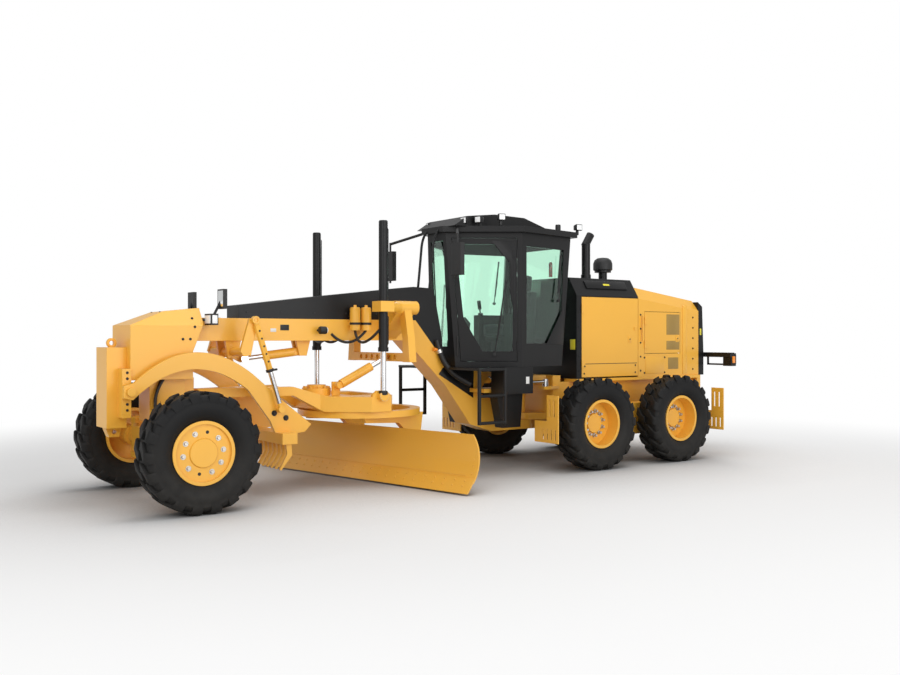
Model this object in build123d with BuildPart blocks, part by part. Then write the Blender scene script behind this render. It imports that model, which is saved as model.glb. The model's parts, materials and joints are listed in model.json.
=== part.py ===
"""Motor grader: articulated frame, tandem drive, drawbar blade and mid-mounted scarifier.

Millimetres. +X is forward, +Y is the machine's left and +Z is up. The origin lies on the
ground below the middle of the machine.
"""
import math
import os

from build123d import *

os.makedirs("parts", exist_ok=True)

# Running gear
front_axle_x = 3860
wheelbase = 6123
tandem_spacing = 1523
track = 2140
lug_count = 18
lug_length = 130
lug_width = 56
lug_angle = 20
lug_reach = 595
tread_r = 570
tread_half = 148
shoulder_r = 545
shoulder_half = 168
bulge_r = 440
bulge_half = 185
bead_r = 322
bead_half = 117
rim_r = 299
rim_wall = 18
flange_r = 315
flange_half = 134
hub_r = 115
hub_back = 150
front_disc = 105
rear_disc = -45
disc_wall = 30

# Fits
seat_gap = 0.5
slide_gap = 0.4
pin_gap = 0.4

# Frames
boom_half = 160
boom_top = 1930
boom_bottom = 1680
hitch_x = -5000
hitch_pin_r = 50
hitch_arm_half = 150
upper_arm = (1200, 1340)
neck = (-3150, -3650)
neck_foot = (-3010, -3610)
lower_arm = (480, 600)
hitch_plate = 90
rail_half = 400
rail_wall = 100
rail_z = (720, 1110)
deck_t = 40
rear_frame_end = -8050
kingpin_y = 800
kingpin_r = 42
steer_arm = 260
tie_rod_r = 26

# Hood
hood_front = -5520
hood_seam = -6720
hood_rear = -8060
hood_half = 550
hood_bottom = 1150
door_bottom = 1340
door_top = 2270
hood_skin = 24
panel_gap = 6

# Cab
cab_floor = upper_arm[1]
cab_top = 3050
cab_wall = 50
post_a = (-3580, 200)
post_b = (-4360, 780)
post_c = (-5360, 600)
front_lean = 100
rear_lean = 190
glass_t = 8
door_gap = 6

# Drawbar, circle and blade
ball = (-300, 1050)
ball_r = 60
circle_x = -2430
circle_r = 740
circle_inner_r = 620
circle_z = (790, 867)
blade_angle = 12
blade_length = 3680
blade_height = 640
blade_ground = 22
blade_t = 25
lift_x = -2280
lift_y = 800
lift_barrel = (1555, 3040)
lift_barrel_r = 52
lift_rod_r = 32
lift_eye_z = 1050

# Scarifier
arm_pin = (461, 1167)
arm_pin_r = 45
arm_inner = 380
arm_wall = 45
tine_count = 11
tine_pitch = 112
bell_shaft = (-748, 1560)
bell_top = (-844, 1905)
link_foot = (-1150, 930)
ram_pin_r = 20
ram_rod_pin = (-936, 1480)
ram_base_pin = (-1641, 1560)
ram_eye_half = 34
bell_shaft_r = 48

# Articulation cylinders
art_front = (-4250, 400)
art_rear = (-5060, 430)
art_z = 1120


def X(x):
    """Place along the machine, measured from the front axle."""
    return front_axle_x + x


def block(x0, x1, y0, y1, z0, z1, mode=Mode.ADD):
    """Box between two places along the machine, two across it and two heights."""
    with Locations((X((x0 + x1) / 2), (y0 + y1) / 2, (z0 + z1) / 2)):
        Box(abs(x1 - x0), abs(y1 - y0), abs(z1 - z0), mode=mode)


def side_plate(points, y0, y1, mode=Mode.ADD):
    """Outline in side view, as (along, height), given a width from y0 to y1."""
    with BuildSketch(Plane.XZ.offset(-max(y0, y1))) as outline:
        with BuildLine():
            Polyline(*[(X(x), z) for x, z in points], close=True)
        make_face()
    extrude(outline.sketch, amount=abs(y1 - y0), mode=mode)


def plan_plate(points, z0, z1, mode=Mode.ADD):
    """Outline seen from above, as (along, across), given a height from z0 to z1."""
    with BuildSketch(Plane.XY.offset(z0)) as outline:
        with BuildLine():
            Polyline(*[(X(x), y) for x, y in points], close=True)
        make_face()
    extrude(outline.sketch, amount=z1 - z0, mode=mode)


def bar(start, end, radius, mode=Mode.ADD):
    """Round bar between two points, each (along, across, height)."""
    a = Vector(X(start[0]), start[1], start[2])
    b = Vector(X(end[0]), end[1], end[2])
    with Locations(Plane(origin=a, z_dir=b - a)):
        Cylinder(radius, (b - a).length, align=(Align.CENTER, Align.CENTER, Align.MIN), mode=mode)


def save(builder, name):
    """Label a finished piece and write it."""
    builder.part.label = name
    export_step(builder.part, f"parts/{name}.step")


def save_copy(shape, name):
    """Label a placed copy of a piece and write it."""
    shape.label = name
    export_step(shape, f"parts/{name}.step")


# Tyre: ring of flat facets with two rows of angled lugs
facet_turn = math.pi / lug_count
facet_share = math.cos(facet_turn)
with BuildPart() as tyre_sector:
    with BuildSketch(Plane.YZ) as tyre_section:
        with BuildLine():
            Polyline(
                (-bead_half, rim_r + slide_gap),
                (-bead_half, bead_r * facet_share),
                (-bulge_half, bulge_r * facet_share),
                (-shoulder_half, shoulder_r * facet_share),
                (-tread_half, tread_r * facet_share),
                (tread_half, tread_r * facet_share),
                (shoulder_half, shoulder_r * facet_share),
                (bulge_half, bulge_r * facet_share),
                (bead_half, bead_r * facet_share),
                (bead_half, rim_r + slide_gap),
                close=True,
            )
        make_face()
    extrude(tyre_section.sketch, amount=tread_r * math.tan(facet_turn), both=True)
    for side in (-1, 1):
        mitre = Plane(origin=(0, 0, 0), z_dir=(side * math.cos(facet_turn), 0, math.sin(facet_turn)))
        split(bisect_by=mitre, keep=Keep.TOP)
lug_root = 20
lug_centre = 74
lug_height = lug_reach - tread_r * facet_share + lug_root
lug_pitch = 360 / lug_count
with BuildPart() as tyre:
    with Locations(*[Location((0, 0, 0), (0, i * lug_pitch, 0)) for i in range(lug_count)]):
        add(tyre_sector.part)
    lug_places = []
    for i in range(lug_count):
        for side in (-1, 1):
            turn = Location((0, 0, 0), (0, (i + side / 4) * lug_pitch, 0))
            seat = Location((0, side * lug_centre, lug_reach - lug_height / 2), (0, 0, side * lug_angle))
            lug_places.append(turn * seat)
    with Locations(*lug_places):
        Box(lug_width, lug_length, lug_height)

wheel_z = -tyre.part.bounding_box().min.Z


def make_rim(disc_out, cap_r, cap_out):
    """Wheel rim turned about its axle, its outer face towards +Y."""
    barrel_in = rim_r - rim_wall
    disc_in = disc_out - disc_wall
    lip = flange_half - bead_half - slide_gap
    with BuildPart() as rim:
        with BuildSketch():
            with BuildLine():
                Polyline(
                    (0, -hub_back),
                    (hub_r, -hub_back),
                    (hub_r, disc_in),
                    (barrel_in, disc_in),
                    (barrel_in, -flange_half),
                    (flange_r, -flange_half),
                    (flange_r, -flange_half + lip),
                    (rim_r, -flange_half + lip),
                    (rim_r, flange_half - lip),
                    (flange_r, flange_half - lip),
                    (flange_r, flange_half),
                    (barrel_in, flange_half),
                    (barrel_in, disc_out),
                    (cap_r, disc_out),
                    (cap_r - 8, cap_out),
                    (0, cap_out),
                    close=True,
                )
            make_face()
        revolve(axis=Axis.Y)
    return rim.part


front_rim = make_rim(front_disc, 145, front_disc + 18)
rear_rim = make_rim(rear_disc, 130, rear_disc + 34)
mid_x = -wheelbase
tandem_front = mid_x + tandem_spacing / 2
tandem_rear = mid_x - tandem_spacing / 2
wheels = [("front", 0, front_rim), ("mid", tandem_front, rear_rim), ("rear", tandem_rear, rear_rim)]
for place, along, rim_shape in wheels:
    for side, sign in (("left", 1), ("right", -1)):
        spot = Location((X(along), sign * track / 2, wheel_z))
        turned = spot * Location((0, 0, 0), (0, 0, 0 if sign > 0 else 180))
        save_copy(tyre.part.moved(spot), f"{place}_tyre_{side}")
        save_copy(rim_shape.moved(turned), f"{place}_rim_{side}")

hub_face = track / 2 - hub_back - seat_gap

# Rear frame: hitch plates, rails, axle housing and rear plate
upper_plate_z = (upper_arm[0] - hitch_plate - seat_gap, upper_arm[0] - seat_gap)
lower_plate_z = (lower_arm[1] + seat_gap, lower_arm[1] + hitch_plate + seat_gap)
hitch_reach = 220
ripper_hole_y = 450
ripper_hole_z = (720, 1000)
ripper_hole_r = 16
with BuildPart() as rear_frame:
    for z0, z1 in (upper_plate_z, lower_plate_z):
        plan_plate(
            [
                (hitch_x - hitch_reach - 60, -300),
                (hitch_x, -140),
                (hitch_x, 140),
                (hitch_x - hitch_reach - 60, 300),
            ],
            z0,
            z1,
        )
        bar((hitch_x, 0, z0), (hitch_x, 0, z1), 140)
    block(
        hitch_x - hitch_reach - 140,
        hitch_x - hitch_reach,
        -rail_half,
        rail_half,
        lower_plate_z[0],
        upper_plate_z[1],
    )
    bar((hitch_x, 0, lower_arm[0] + 10), (hitch_x, 0, upper_arm[1] - 10), hitch_pin_r)
    for sign in (-1, 1):
        block(
            hitch_x - hitch_reach - 140,
            rear_frame_end,
            sign * (rail_half - rail_wall),
            sign * rail_half,
            *rail_z,
        )
        lug_x, lug_y = art_rear
        plan_plate(
            [
                (lug_x - 300, sign * 300),
                (lug_x + 60, sign * (lug_y - 70)),
                (lug_x + 60, sign * (lug_y + 50)),
                (lug_x - 60, sign * (lug_y + 50)),
                (lug_x - 300, sign * 390),
            ],
            art_z - 100,
            art_z - 60,
        )
    bar((mid_x, -rail_half - 20, wheel_z + 70), (mid_x, rail_half + 20, wheel_z + 70), 190)
    bar((mid_x + 230, 0, wheel_z + 40), (mid_x - 230, 0, wheel_z + 40), 250)
    block(rear_frame_end - 80, rear_frame_end, -500, 500, 640, hood_bottom)
    for sign in (-1, 1):
        block(
            hood_front,
            rear_frame_end,
            sign * (rail_half - rail_wall),
            sign * hood_half,
            hood_bottom - deck_t,
            hood_bottom,
        )
    block(-6600, -6700, -rail_half, rail_half, 800, 1050)
    for hole_y in (-ripper_hole_y, ripper_hole_y):
        for hole_z in ripper_hole_z:
            bar(
                (rear_frame_end + 1, hole_y, hole_z),
                (rear_frame_end - 81, hole_y, hole_z),
                ripper_hole_r,
                Mode.SUBTRACT,
            )
save(rear_frame, "rear_frame")

# Tandem cases with wheel spindles and slotted step guards
case_inner = rail_half + 20
case_y = (620, 830)
case_h = 430
guard_x = (-4560, -7740)
guard_y = (900, 1240)
with BuildPart() as tandem_cases:
    for sign in (-1, 1):
        with BuildSketch(Plane.XZ.offset(-sign * case_y[0])) as case:
            with Locations((X(mid_x), wheel_z)):
                SlotCenterToCenter(tandem_spacing, case_h)
        extrude(case.sketch, amount=-sign * (case_y[1] - case_y[0]))
        bar((mid_x, sign * case_inner, wheel_z + 70), (mid_x, sign * (case_y[0] + 20), wheel_z + 70), 180)
        for along in (tandem_front, tandem_rear):
            bar((along, sign * (case_y[1] - 10), wheel_z), (along, sign * hub_face, wheel_z), 105)
        for guard, reach, tip in ((guard_x[0], tandem_front, 1), (guard_x[1], tandem_rear, -1)):
            arm_out = case_y[1] + 25
            block(reach + tip * 120, guard, sign * (case_y[1] - 30), sign * arm_out, 480, 640)
            block(guard - 8, guard + 8, sign * (case_y[1] - 30), sign * guard_y[1], 390, 660)
            block(guard - 8, guard + 8, sign * (guard_y[0] + 130), sign * guard_y[1], 660, 990)
            for k in range(4):
                slot_y = guard_y[0] + 60 + 75 * k
                block(
                    guard - 20,
                    guard + 20,
                    sign * (slot_y - 12),
                    sign * (slot_y + 12),
                    430,
                    560,
                    Mode.SUBTRACT,
                )
            for k in range(2):
                slot_y = guard_y[0] + 185 + 80 * k
                block(
                    guard - 20,
                    guard + 20,
                    sign * (slot_y - 13),
                    sign * (slot_y + 13),
                    720,
                    930,
                    Mode.SUBTRACT,
                )
save(tandem_cases, "tandem_cases")

# Engine block on the rails
with BuildPart() as engine_block:
    block(-5950, -7200, -rail_half + 90, rail_half - 90, hood_bottom, 1900)
save(engine_block, "engine_block")

# Hood cowl: front bulkhead, side pillars and black top over the front half
cowl_top = 2540
cowl_side = 2290
with BuildPart() as hood_cowl:
    front_plate_points = [
        (-hood_half, hood_bottom),
        (hood_half, hood_bottom),
        (hood_half, cowl_side),
        (hood_half - 160, cowl_top),
        (-hood_half + 160, cowl_top),
        (-hood_half, cowl_side),
    ]
    with BuildSketch(Plane.YZ.offset(X(hood_front))) as face:
        with BuildLine():
            Polyline(*front_plate_points, close=True)
        make_face()
    extrude(face.sketch, amount=hood_seam - hood_front)
    with BuildSketch(Plane.YZ.offset(X(hood_front - 30))) as inside:
        with BuildLine():
            Polyline(*front_plate_points, close=True)
        make_face()
        offset(amount=-hood_skin)
    extrude(inside.sketch, amount=hood_seam - hood_front, mode=Mode.SUBTRACT)
    block(
        hood_front - 90,
        hood_seam - 10,
        -1000,
        1000,
        hood_bottom - 10,
        door_top + panel_gap,
        Mode.SUBTRACT,
    )
save(hood_cowl, "hood_cowl")

# Hood rear: yellow shell with door openings in its sides
rear_top = (2440, 2270)
rear_side = (2270, 2110)
rear_half = hood_half - 30
rear_bevel = 130


def hood_section(along, half, top, side, skin=0):
    """Cross-section of the rear hood, bevelled along its top edges, drawn in by a skin."""
    bottom = hood_bottom - (1 if skin else 0)
    with BuildSketch(Plane.YZ.offset(X(along))) as section:
        with BuildLine():
            Polyline(
                (skin - half, bottom),
                (half - skin, bottom),
                (half - skin, side - skin / 2),
                (half - rear_bevel - skin / 2, top - skin),
                (rear_bevel - half + skin / 2, top - skin),
                (skin - half, side - skin / 2),
                close=True,
            )
        make_face()
    return section.sketch


with BuildPart() as hood_outer:
    loft(
        [
            hood_section(hood_seam - 2, hood_half, rear_top[0], rear_side[0]),
            hood_section(hood_rear, rear_half, rear_top[1], rear_side[1]),
        ],
        ruled=True,
    )
with BuildPart() as hood_hollow:
    loft(
        [
            hood_section(hood_seam, hood_half, rear_top[0], rear_side[0], hood_skin),
            hood_section(hood_rear - 2, rear_half, rear_top[1], rear_side[1], hood_skin),
        ],
        ruled=True,
    )
rear_door_x = (-6850, -7640)
rear_door_z = (1480, 2090)
with BuildPart() as hood_rear_shell:
    add(hood_outer.part)
    add(hood_hollow.part, mode=Mode.SUBTRACT)
    block(*rear_door_x, -1000, 1000, *rear_door_z, Mode.SUBTRACT)
save(hood_rear_shell, "hood_rear")

# Rear grille: black frame with bars, and tail-lamp brackets to each side
grille_x = (hood_rear - 2, -8190)
with BuildPart() as rear_grille:
    side_plate(
        [
            (grille_x[0], hood_bottom),
            (grille_x[0], 2250),
            (grille_x[1] + 30, 2180),
            (grille_x[1], 1500),
            (grille_x[1], hood_bottom),
        ],
        -rear_half + 10,
        rear_half - 10,
    )
    block(grille_x[1] - 50, grille_x[0] + 50, -400, 400, 1300, 2060, Mode.SUBTRACT)
    for k in range(9):
        bar_z = 1340 + 85 * k
        block(grille_x[1] + 20, grille_x[1] + 40, -405, 405, bar_z - 12, bar_z + 12)
    for sign in (-1, 1):
        block(grille_x[1] - 90, grille_x[1], sign * 380, sign * 1010, 1420, 1490)
        block(grille_x[1] - 130, grille_x[1] - 20, sign * 860, sign * 1010, 1290, 1480)
        block(grille_x[1] - 60, grille_x[1] - 40, sign * 560, sign * 860, 1300, 1325)
        block(grille_x[1] - 60, grille_x[1] - 40, sign * 545, sign * 570, 1300, 1420)
    block(grille_x[1] - 162, grille_x[1] - 130, 880, 990, 1320, 1460)
    block(grille_x[1] - 162, grille_x[1] - 130, -990, -880, 1320, 1460)
save(rear_grille, "rear_grille")

hinge_r = 10
hinge_gap = 0.3
hinge_length = 110


def hood_hinge(along, sign, face_y, low):
    """Hinge knuckle just off a hood side, with its leaf on the door behind it."""
    axis_y = sign * (face_y + hinge_r + hinge_gap)
    bar((along, axis_y, low), (along, axis_y, low + hinge_length), hinge_r)
    block(along - 60, along - 2, sign * (face_y - 4), sign * (face_y + hinge_r), low, low + hinge_length)


# Side doors of the hood, hinged at their front edges
for side, sign in (("left", 1), ("right", -1)):
    with BuildPart() as front_door:
        outer = hood_half
        block(
            hood_front - 90 - panel_gap,
            hood_seam + panel_gap,
            sign * (outer - hood_skin),
            sign * outer,
            door_bottom - 170,
            door_top,
        )
        block(-6630, -6660, sign * (outer - 1), sign * (outer + 14), 1820, 1860)
        for hinge_z in (1300, 2050):
            hood_hinge(hood_front - 90 - panel_gap / 2, sign, outer, hinge_z)
    save(front_door, f"front_door_{side}")
    with BuildPart() as rear_door:
        slope = (hood_half - rear_half) / (hood_seam - hood_rear)
        y_front = rear_half + slope * (rear_door_x[0] - hood_rear)
        y_rear = rear_half + slope * (rear_door_x[1] - hood_rear)
        x0 = rear_door_x[0] - panel_gap
        x1 = rear_door_x[1] + panel_gap
        plan_plate(
            [
                (x0, sign * y_front),
                (x1, sign * y_rear),
                (x1, sign * (y_rear - hood_skin)),
                (x0, sign * (y_front - hood_skin)),
            ],
            rear_door_z[0] + panel_gap,
            rear_door_z[1] - panel_gap,
        )
        for hinge_z in (1560, 1900):
            hood_hinge(rear_door_x[0] - panel_gap / 2, sign, y_front, hinge_z)
        for k in range(7):
            block(-7330, -7590, sign * 300, sign * 700, 1760 + 40 * k, 1780 + 40 * k, Mode.SUBTRACT)
        for k in range(3):
            block(-7330, -7590, sign * 300, sign * 700, 1540 + 40 * k, 1560 + 40 * k, Mode.SUBTRACT)
    save(rear_door, f"rear_door_{side}")

# Exhaust and intake stacks on the hood's top
exhaust = (-5980, 250)
intake = (-6560, 0)
with BuildPart() as stacks:
    bar((exhaust[0], exhaust[1], cowl_top + seat_gap), (exhaust[0], exhaust[1], 2600), 70)
    bar((exhaust[0], exhaust[1], 2600), (exhaust[0], exhaust[1], 3030), 60)
    bar((exhaust[0] + 20, exhaust[1], 3005), (exhaust[0] - 90, exhaust[1], 3170), 56)
    bar((intake[0], intake[1], cowl_top + seat_gap), (intake[0], intake[1], 2680), 62)
    with Locations((X(intake[0]), intake[1], 2665)):
        Cylinder(120, 150, align=(Align.CENTER, Align.CENTER, Align.MIN))
save(stacks, "stacks")

# Front frame: boom, gooseneck with hitch arms, nose, bolster and drawbar socket
nose_half = 300
with BuildPart() as front_frame:
    side_plate(
        [
            (-300, boom_top),
            (neck[0], boom_top),
            (neck[1], upper_arm[1]),
            (hitch_x, upper_arm[1]),
            (hitch_x, upper_arm[0]),
            (-4300, upper_arm[0]),
            (-4150, 1000),
            (-4560, 770),
            (-4750, lower_arm[1]),
            (hitch_x, lower_arm[1]),
            (hitch_x, lower_arm[0]),
            (-4350, lower_arm[0]),
            (-4000, 590),
            (neck_foot[1], 1100),
            (neck_foot[0], boom_bottom),
            (-300, boom_bottom),
        ],
        -boom_half,
        boom_half,
    )
    for z0, z1 in (upper_arm, lower_arm):
        bar((hitch_x, 0, z0), (hitch_x, 0, z1), hitch_arm_half)
        bar((hitch_x, 0, z0 - 1), (hitch_x, 0, z1 + 1), hitch_pin_r + pin_gap, Mode.SUBTRACT)
    side_plate(
        [(430, 1280), (430, 1845), (60, 1990), (-350, 2035), (-350, 1870), (-230, 1570), (-230, 1280)],
        -nose_half,
        nose_half,
    )
    for sign in (-1, 1):
        with BuildSketch(Plane.YZ.offset(X(-400))) as bevel:
            with BuildLine():
                Polyline(
                    (sign * (nose_half + 1), 1840),
                    (sign * (nose_half + 1), 2100),
                    (sign * 110, 2100),
                    close=True,
                )
            make_face()
        extrude(bevel.sketch, amount=900, mode=Mode.SUBTRACT)
    block(-190, 190, -170, 170, 830, 1285)
    block(-190, ball[0] - 10, -110, 110, 960, 1285)
    with Locations((X(ball[0]), 0, ball[1])):
        Sphere(ball_r + pin_gap, mode=Mode.SUBTRACT)
    for sign in (-1, 1):
        y0, y1 = sign * (boom_half - 20), sign * 470
        side_plate(
            [
                (art_front[0] + 260, 1010),
                (art_front[0] + 260, 1060),
                (art_front[0] - 60, 1060),
                (art_front[0] - 60, 1010),
            ],
            y0,
            y1,
        )
        hanger = (sign * 100, sign * 140)
        side_plate(
            [
                (bell_shaft[0] - 90, boom_bottom),
                (bell_shaft[0] + 90, boom_bottom),
                (bell_shaft[0] + 60, 1495),
                (bell_shaft[0] - 60, 1495),
            ],
            *hanger,
        )
        bar(
            (bell_shaft[0], hanger[0] - sign, bell_shaft[1]),
            (bell_shaft[0], hanger[1] + sign, bell_shaft[1]),
            bell_shaft_r + pin_gap,
            Mode.SUBTRACT,
        )
        ear = (sign * (ram_eye_half + seat_gap), sign * (ram_eye_half + 36))
        side_plate(
            [
                (ram_base_pin[0] - 90, boom_bottom),
                (ram_base_pin[0] + 90, boom_bottom),
                (ram_base_pin[0] + 45, 1505),
                (ram_base_pin[0] - 45, 1505),
            ],
            *ear,
        )
    bar(
        (ram_base_pin[0], -ram_eye_half - 30, ram_base_pin[1]),
        (ram_base_pin[0], ram_eye_half + 30, ram_base_pin[1]),
        ram_pin_r,
    )
save(front_frame, "front_frame")



def neck_z(along):
    """Height of the gooseneck's top edge behind the boom."""
    slope = (boom_top - upper_arm[1]) / (neck[0] - neck[1])
    return boom_top - (neck[0] - along) * slope


# Boom cover: black wedge over the boom up to the cab
with BuildPart() as boom_cover:
    side_plate(
        [
            (-800, boom_top),
            (-800, 2075),
            (-1780, 2195),
            (-3120, 2347),
            (-3420, 2335),
            (-3560, 1700),
            (-3560, neck_z(-3560) + 1),
            (neck[0], boom_top),
        ],
        -boom_half,
        boom_half,
    )
save(boom_cover, "boom_cover")

# Push block bolted to the nose, with the scarifier arm pins
tow_hole_r = 22
with BuildPart() as push_block:
    side_plate([(430, 790), (430, 1616), (632, 1616), (632, 790)], -180, 180)
    side_plate([(430, 900), (430, 1400), (520, 1400), (520, 900)], -330, 330)
    bar(
        (arm_pin[0], -arm_inner - arm_wall - 30, arm_pin[1]),
        (arm_pin[0], arm_inner + arm_wall + 30, arm_pin[1]),
        arm_pin_r,
    )
    side_plate([(470, 690), (440, 790), (610, 790), (570, 690)], -60, 60)
    bar((520, -61, 742), (520, 61, 742), tow_hole_r, Mode.SUBTRACT)
save(push_block, "push_block")

# Front axle beam with kingpin yokes
yoke_z = (wheel_z - 225, wheel_z - 165, wheel_z + 160, wheel_z + 220)
with BuildPart() as front_axle:
    block(-100, 100, -690, 690, wheel_z - 110, wheel_z + 130)
    block(-140, 140, -200, 200, wheel_z - 150, 830)
    for sign in (-1, 1):
        block(-40, 40, sign * 640, sign * 700, yoke_z[0], yoke_z[3])
        for z0, z1 in (yoke_z[:2], yoke_z[2:]):
            block(-80, 80, sign * 640, sign * kingpin_y, z0, z1)
            bar((0, sign * kingpin_y, z0), (0, sign * kingpin_y, z1), 70)
            bar(
                (0, sign * kingpin_y, z0 - 1),
                (0, sign * kingpin_y, z1 + 1),
                kingpin_r + pin_gap,
                Mode.SUBTRACT,
            )
save(front_axle, "front_axle")

# Steering knuckles on their kingpins, and the tie rod behind the axle
arm_z = (wheel_z - 155, wheel_z - 125)
for side, sign in (("left", 1), ("right", -1)):
    with BuildPart() as knuckle:
        bar((0, sign * kingpin_y, yoke_z[0] - 12), (0, sign * kingpin_y, yoke_z[3] + 12), kingpin_r)
        bar((0, sign * kingpin_y, yoke_z[1] + seat_gap), (0, sign * kingpin_y, yoke_z[2] - seat_gap), 70)
        bar((0, sign * kingpin_y, wheel_z), (0, sign * hub_face, wheel_z), 80)
        block(-steer_arm, 0, sign * (kingpin_y - 28), sign * (kingpin_y + 28), *arm_z)
        bar((-steer_arm, sign * kingpin_y, arm_z[0]), (-steer_arm, sign * kingpin_y, arm_z[1]), 40)
        bar((-steer_arm, sign * kingpin_y, arm_z[0] - 60), (-steer_arm, sign * kingpin_y, arm_z[0] + 1), 18)
    save(knuckle, f"knuckle_{side}")
tie_z = arm_z[0] - 32
with BuildPart() as tie_rod:
    bar((-steer_arm, -kingpin_y, tie_z), (-steer_arm, kingpin_y, tie_z), tie_rod_r)
    for sign in (-1, 1):
        bar((-steer_arm, sign * kingpin_y, tie_z - 28), (-steer_arm, sign * kingpin_y, tie_z + 28), 36)
        bar(
            (-steer_arm, sign * kingpin_y, tie_z - 40),
            (-steer_arm, sign * kingpin_y, tie_z + 40),
            18 + pin_gap,
            Mode.SUBTRACT,
        )
save(tie_rod, "tie_rod")

# Lift saddle: casting round the boom, lift arms, link bar and accumulators
saddle_x = (-2610, -2860)
arm_pivot = (540, 2070)
link_x = (-2690, -2790)
link_z = (1430, 1530)
can_y = 250
can_r = 62
with BuildPart() as lift_saddle:
    for sign in (-1, 1):
        with BuildSketch(Plane.YZ.offset(X(saddle_x[0]))) as cheek:
            with BuildLine():
                Polyline(
                    (sign * boom_half, 1700),
                    (sign * boom_half, 1925),
                    (sign * (arm_pivot[0] - 20), 2130),
                    (sign * (arm_pivot[0] + 20), 2000),
                    (sign * 330, 1800),
                    close=True,
                )
            make_face()
        extrude(cheek.sketch, amount=saddle_x[1] - saddle_x[0])
        bar(
            (saddle_x[0] + 20, sign * arm_pivot[0], arm_pivot[1]),
            (saddle_x[1] - 40, sign * arm_pivot[0], arm_pivot[1]),
            80,
        )
        with BuildSketch(Plane.YZ.offset(X(link_x[0]))) as drop:
            with BuildLine():
                Polyline(
                    (sign * 480, 2060),
                    (sign * 610, 2060),
                    (sign * 690, 1700),
                    (sign * 720, link_z[0] - 5),
                    (sign * 570, link_z[0] - 5),
                    (sign * 570, 1700),
                    close=True,
                )
            make_face()
        extrude(drop.sketch, amount=link_x[1] - link_x[0])
        bar(
            (saddle_x[0] - 40, sign * 560, arm_pivot[1]),
            (lift_x - 60, sign * (lift_y - 60), arm_pivot[1]),
            58,
        )
        block(
            lift_x - 90,
            lift_x + 90,
            sign * (lift_y - 95),
            sign * (lift_y + 95),
            arm_pivot[1] - 60,
            arm_pivot[1] + 60,
        )
        bar(
            (lift_x, sign * lift_y, 1900),
            (lift_x, sign * lift_y, 2200),
            lift_barrel_r + slide_gap,
            Mode.SUBTRACT,
        )
        for k in range(2):
            can_x = -2230 - 150 * k
            bar((can_x, sign * can_y, 1800), (can_x, sign * can_y, 2060), can_r)
            block(can_x - 40, can_x + 40, sign * boom_half, sign * (can_y - 30), 1860, 1900)
    block(*link_x, -700, 700, *link_z)
    block(link_x[0], link_x[0] + 110, 215, 257.5, link_z[0], link_z[1] - 10)
    for k in range(7):
        hole_y = 130 * (k - 3)
        bar(
            (link_x[0] + 50, hole_y, (link_z[0] + link_z[1]) / 2),
            (link_x[1] - 50, hole_y, (link_z[0] + link_z[1]) / 2),
            30,
            Mode.SUBTRACT,
        )
save(lift_saddle, "lift_saddle")

# Lift cylinder barrels in the saddle's yokes, and their rods
with BuildPart() as lift_barrels:
    for sign in (-1, 1):
        bar((lift_x, sign * lift_y, lift_barrel[0]), (lift_x, sign * lift_y, lift_barrel[1]), lift_barrel_r)
        bar(
            (lift_x, sign * lift_y, lift_barrel[0] - 1),
            (lift_x, sign * lift_y, lift_barrel[1] - 60),
            lift_rod_r + slide_gap,
            Mode.SUBTRACT,
        )
save(lift_barrels, "lift_barrels")
with BuildPart() as lift_rods:
    for sign in (-1, 1):
        bar((lift_x, sign * lift_y, lift_eye_z), (lift_x, sign * lift_y, 2400), lift_rod_r)
        bar((lift_x, sign * (lift_y - 32), lift_eye_z), (lift_x, sign * (lift_y + 32), lift_eye_z), 58)
save(lift_rods, "lift_rods")

# Drawbar: ball end, A-frame over the circle, lift lugs and drive motor
draw_front = (1060, 1160)
draw_rear = (circle_z[1] + seat_gap, 1040)
draw_end = -2590
lug_y = (lift_y - 32 - seat_gap - 40, lift_y - 32 - seat_gap)
with BuildPart() as drawbar_side:
    side_plate(
        [
            (ball[0] - 70, draw_front[0]),
            (ball[0] - 70, draw_front[1]),
            (-1400, draw_front[1]),
            (-1780, draw_rear[1]),
            (draw_end, draw_rear[1]),
            (draw_end, draw_rear[0]),
            (-1740, draw_rear[0]),
            (-1400, draw_front[0]),
        ],
        -900,
        900,
    )
with BuildPart() as drawbar_plan:
    plan_plate(
        [
            (ball[0] - 70, -60),
            (-1700, -380),
            (lift_x + 130, -lug_y[1]),
            (lift_x - 130, -lug_y[1]),
            (draw_end, -500),
            (draw_end, 500),
            (lift_x - 130, lug_y[1]),
            (lift_x + 130, lug_y[1]),
            (-1700, 380),
            (ball[0] - 70, 60),
        ],
        800,
        1300,
    )
    plan_plate([(-900, -90), (-1700, -260), (-1700, 260), (-900, 90)], 700, 1400, Mode.SUBTRACT)
    plan_plate(
        [(-2130, -330), (draw_end + 100, -330), (draw_end + 100, 330), (-2130, 330)],
        700,
        1400,
        Mode.SUBTRACT,
    )
with BuildPart() as drawbar:
    add(drawbar_side.part)
    add(drawbar_plan.part, mode=Mode.INTERSECT)
    with Locations((X(ball[0]), 0, ball[1])):
        Sphere(ball_r)
    bar((ball[0] - 30, 0, ball[1]), (ball[0] - 120, 0, draw_front[0] + 50), 40)
    for sign in (-1, 1):
        side_plate(
            [
                (lift_x - 120, draw_rear[0]),
                (lift_x - 120, 1060),
                (lift_x - 60, 1110),
                (lift_x + 60, 1110),
                (lift_x + 120, 1060),
                (lift_x + 120, draw_rear[0]),
            ],
            sign * lug_y[0],
            sign * lug_y[1],
        )
    bar((-1850, 0, draw_rear[1] - 5), (-1850, 0, 1120), 170)
    bar((-1850, 0, 1115), (-1850, 0, 1160), 110)
    block(-1940, -2040, 200, 230, draw_rear[1] - 5, 1200)
save(drawbar, "drawbar")

# Circle ring below the drawbar, with its blade arms, turned to the blade's angle
tip_axis = (-190, 240)
tip_pin_r = 32
arm_y = (470, 540)


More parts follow.
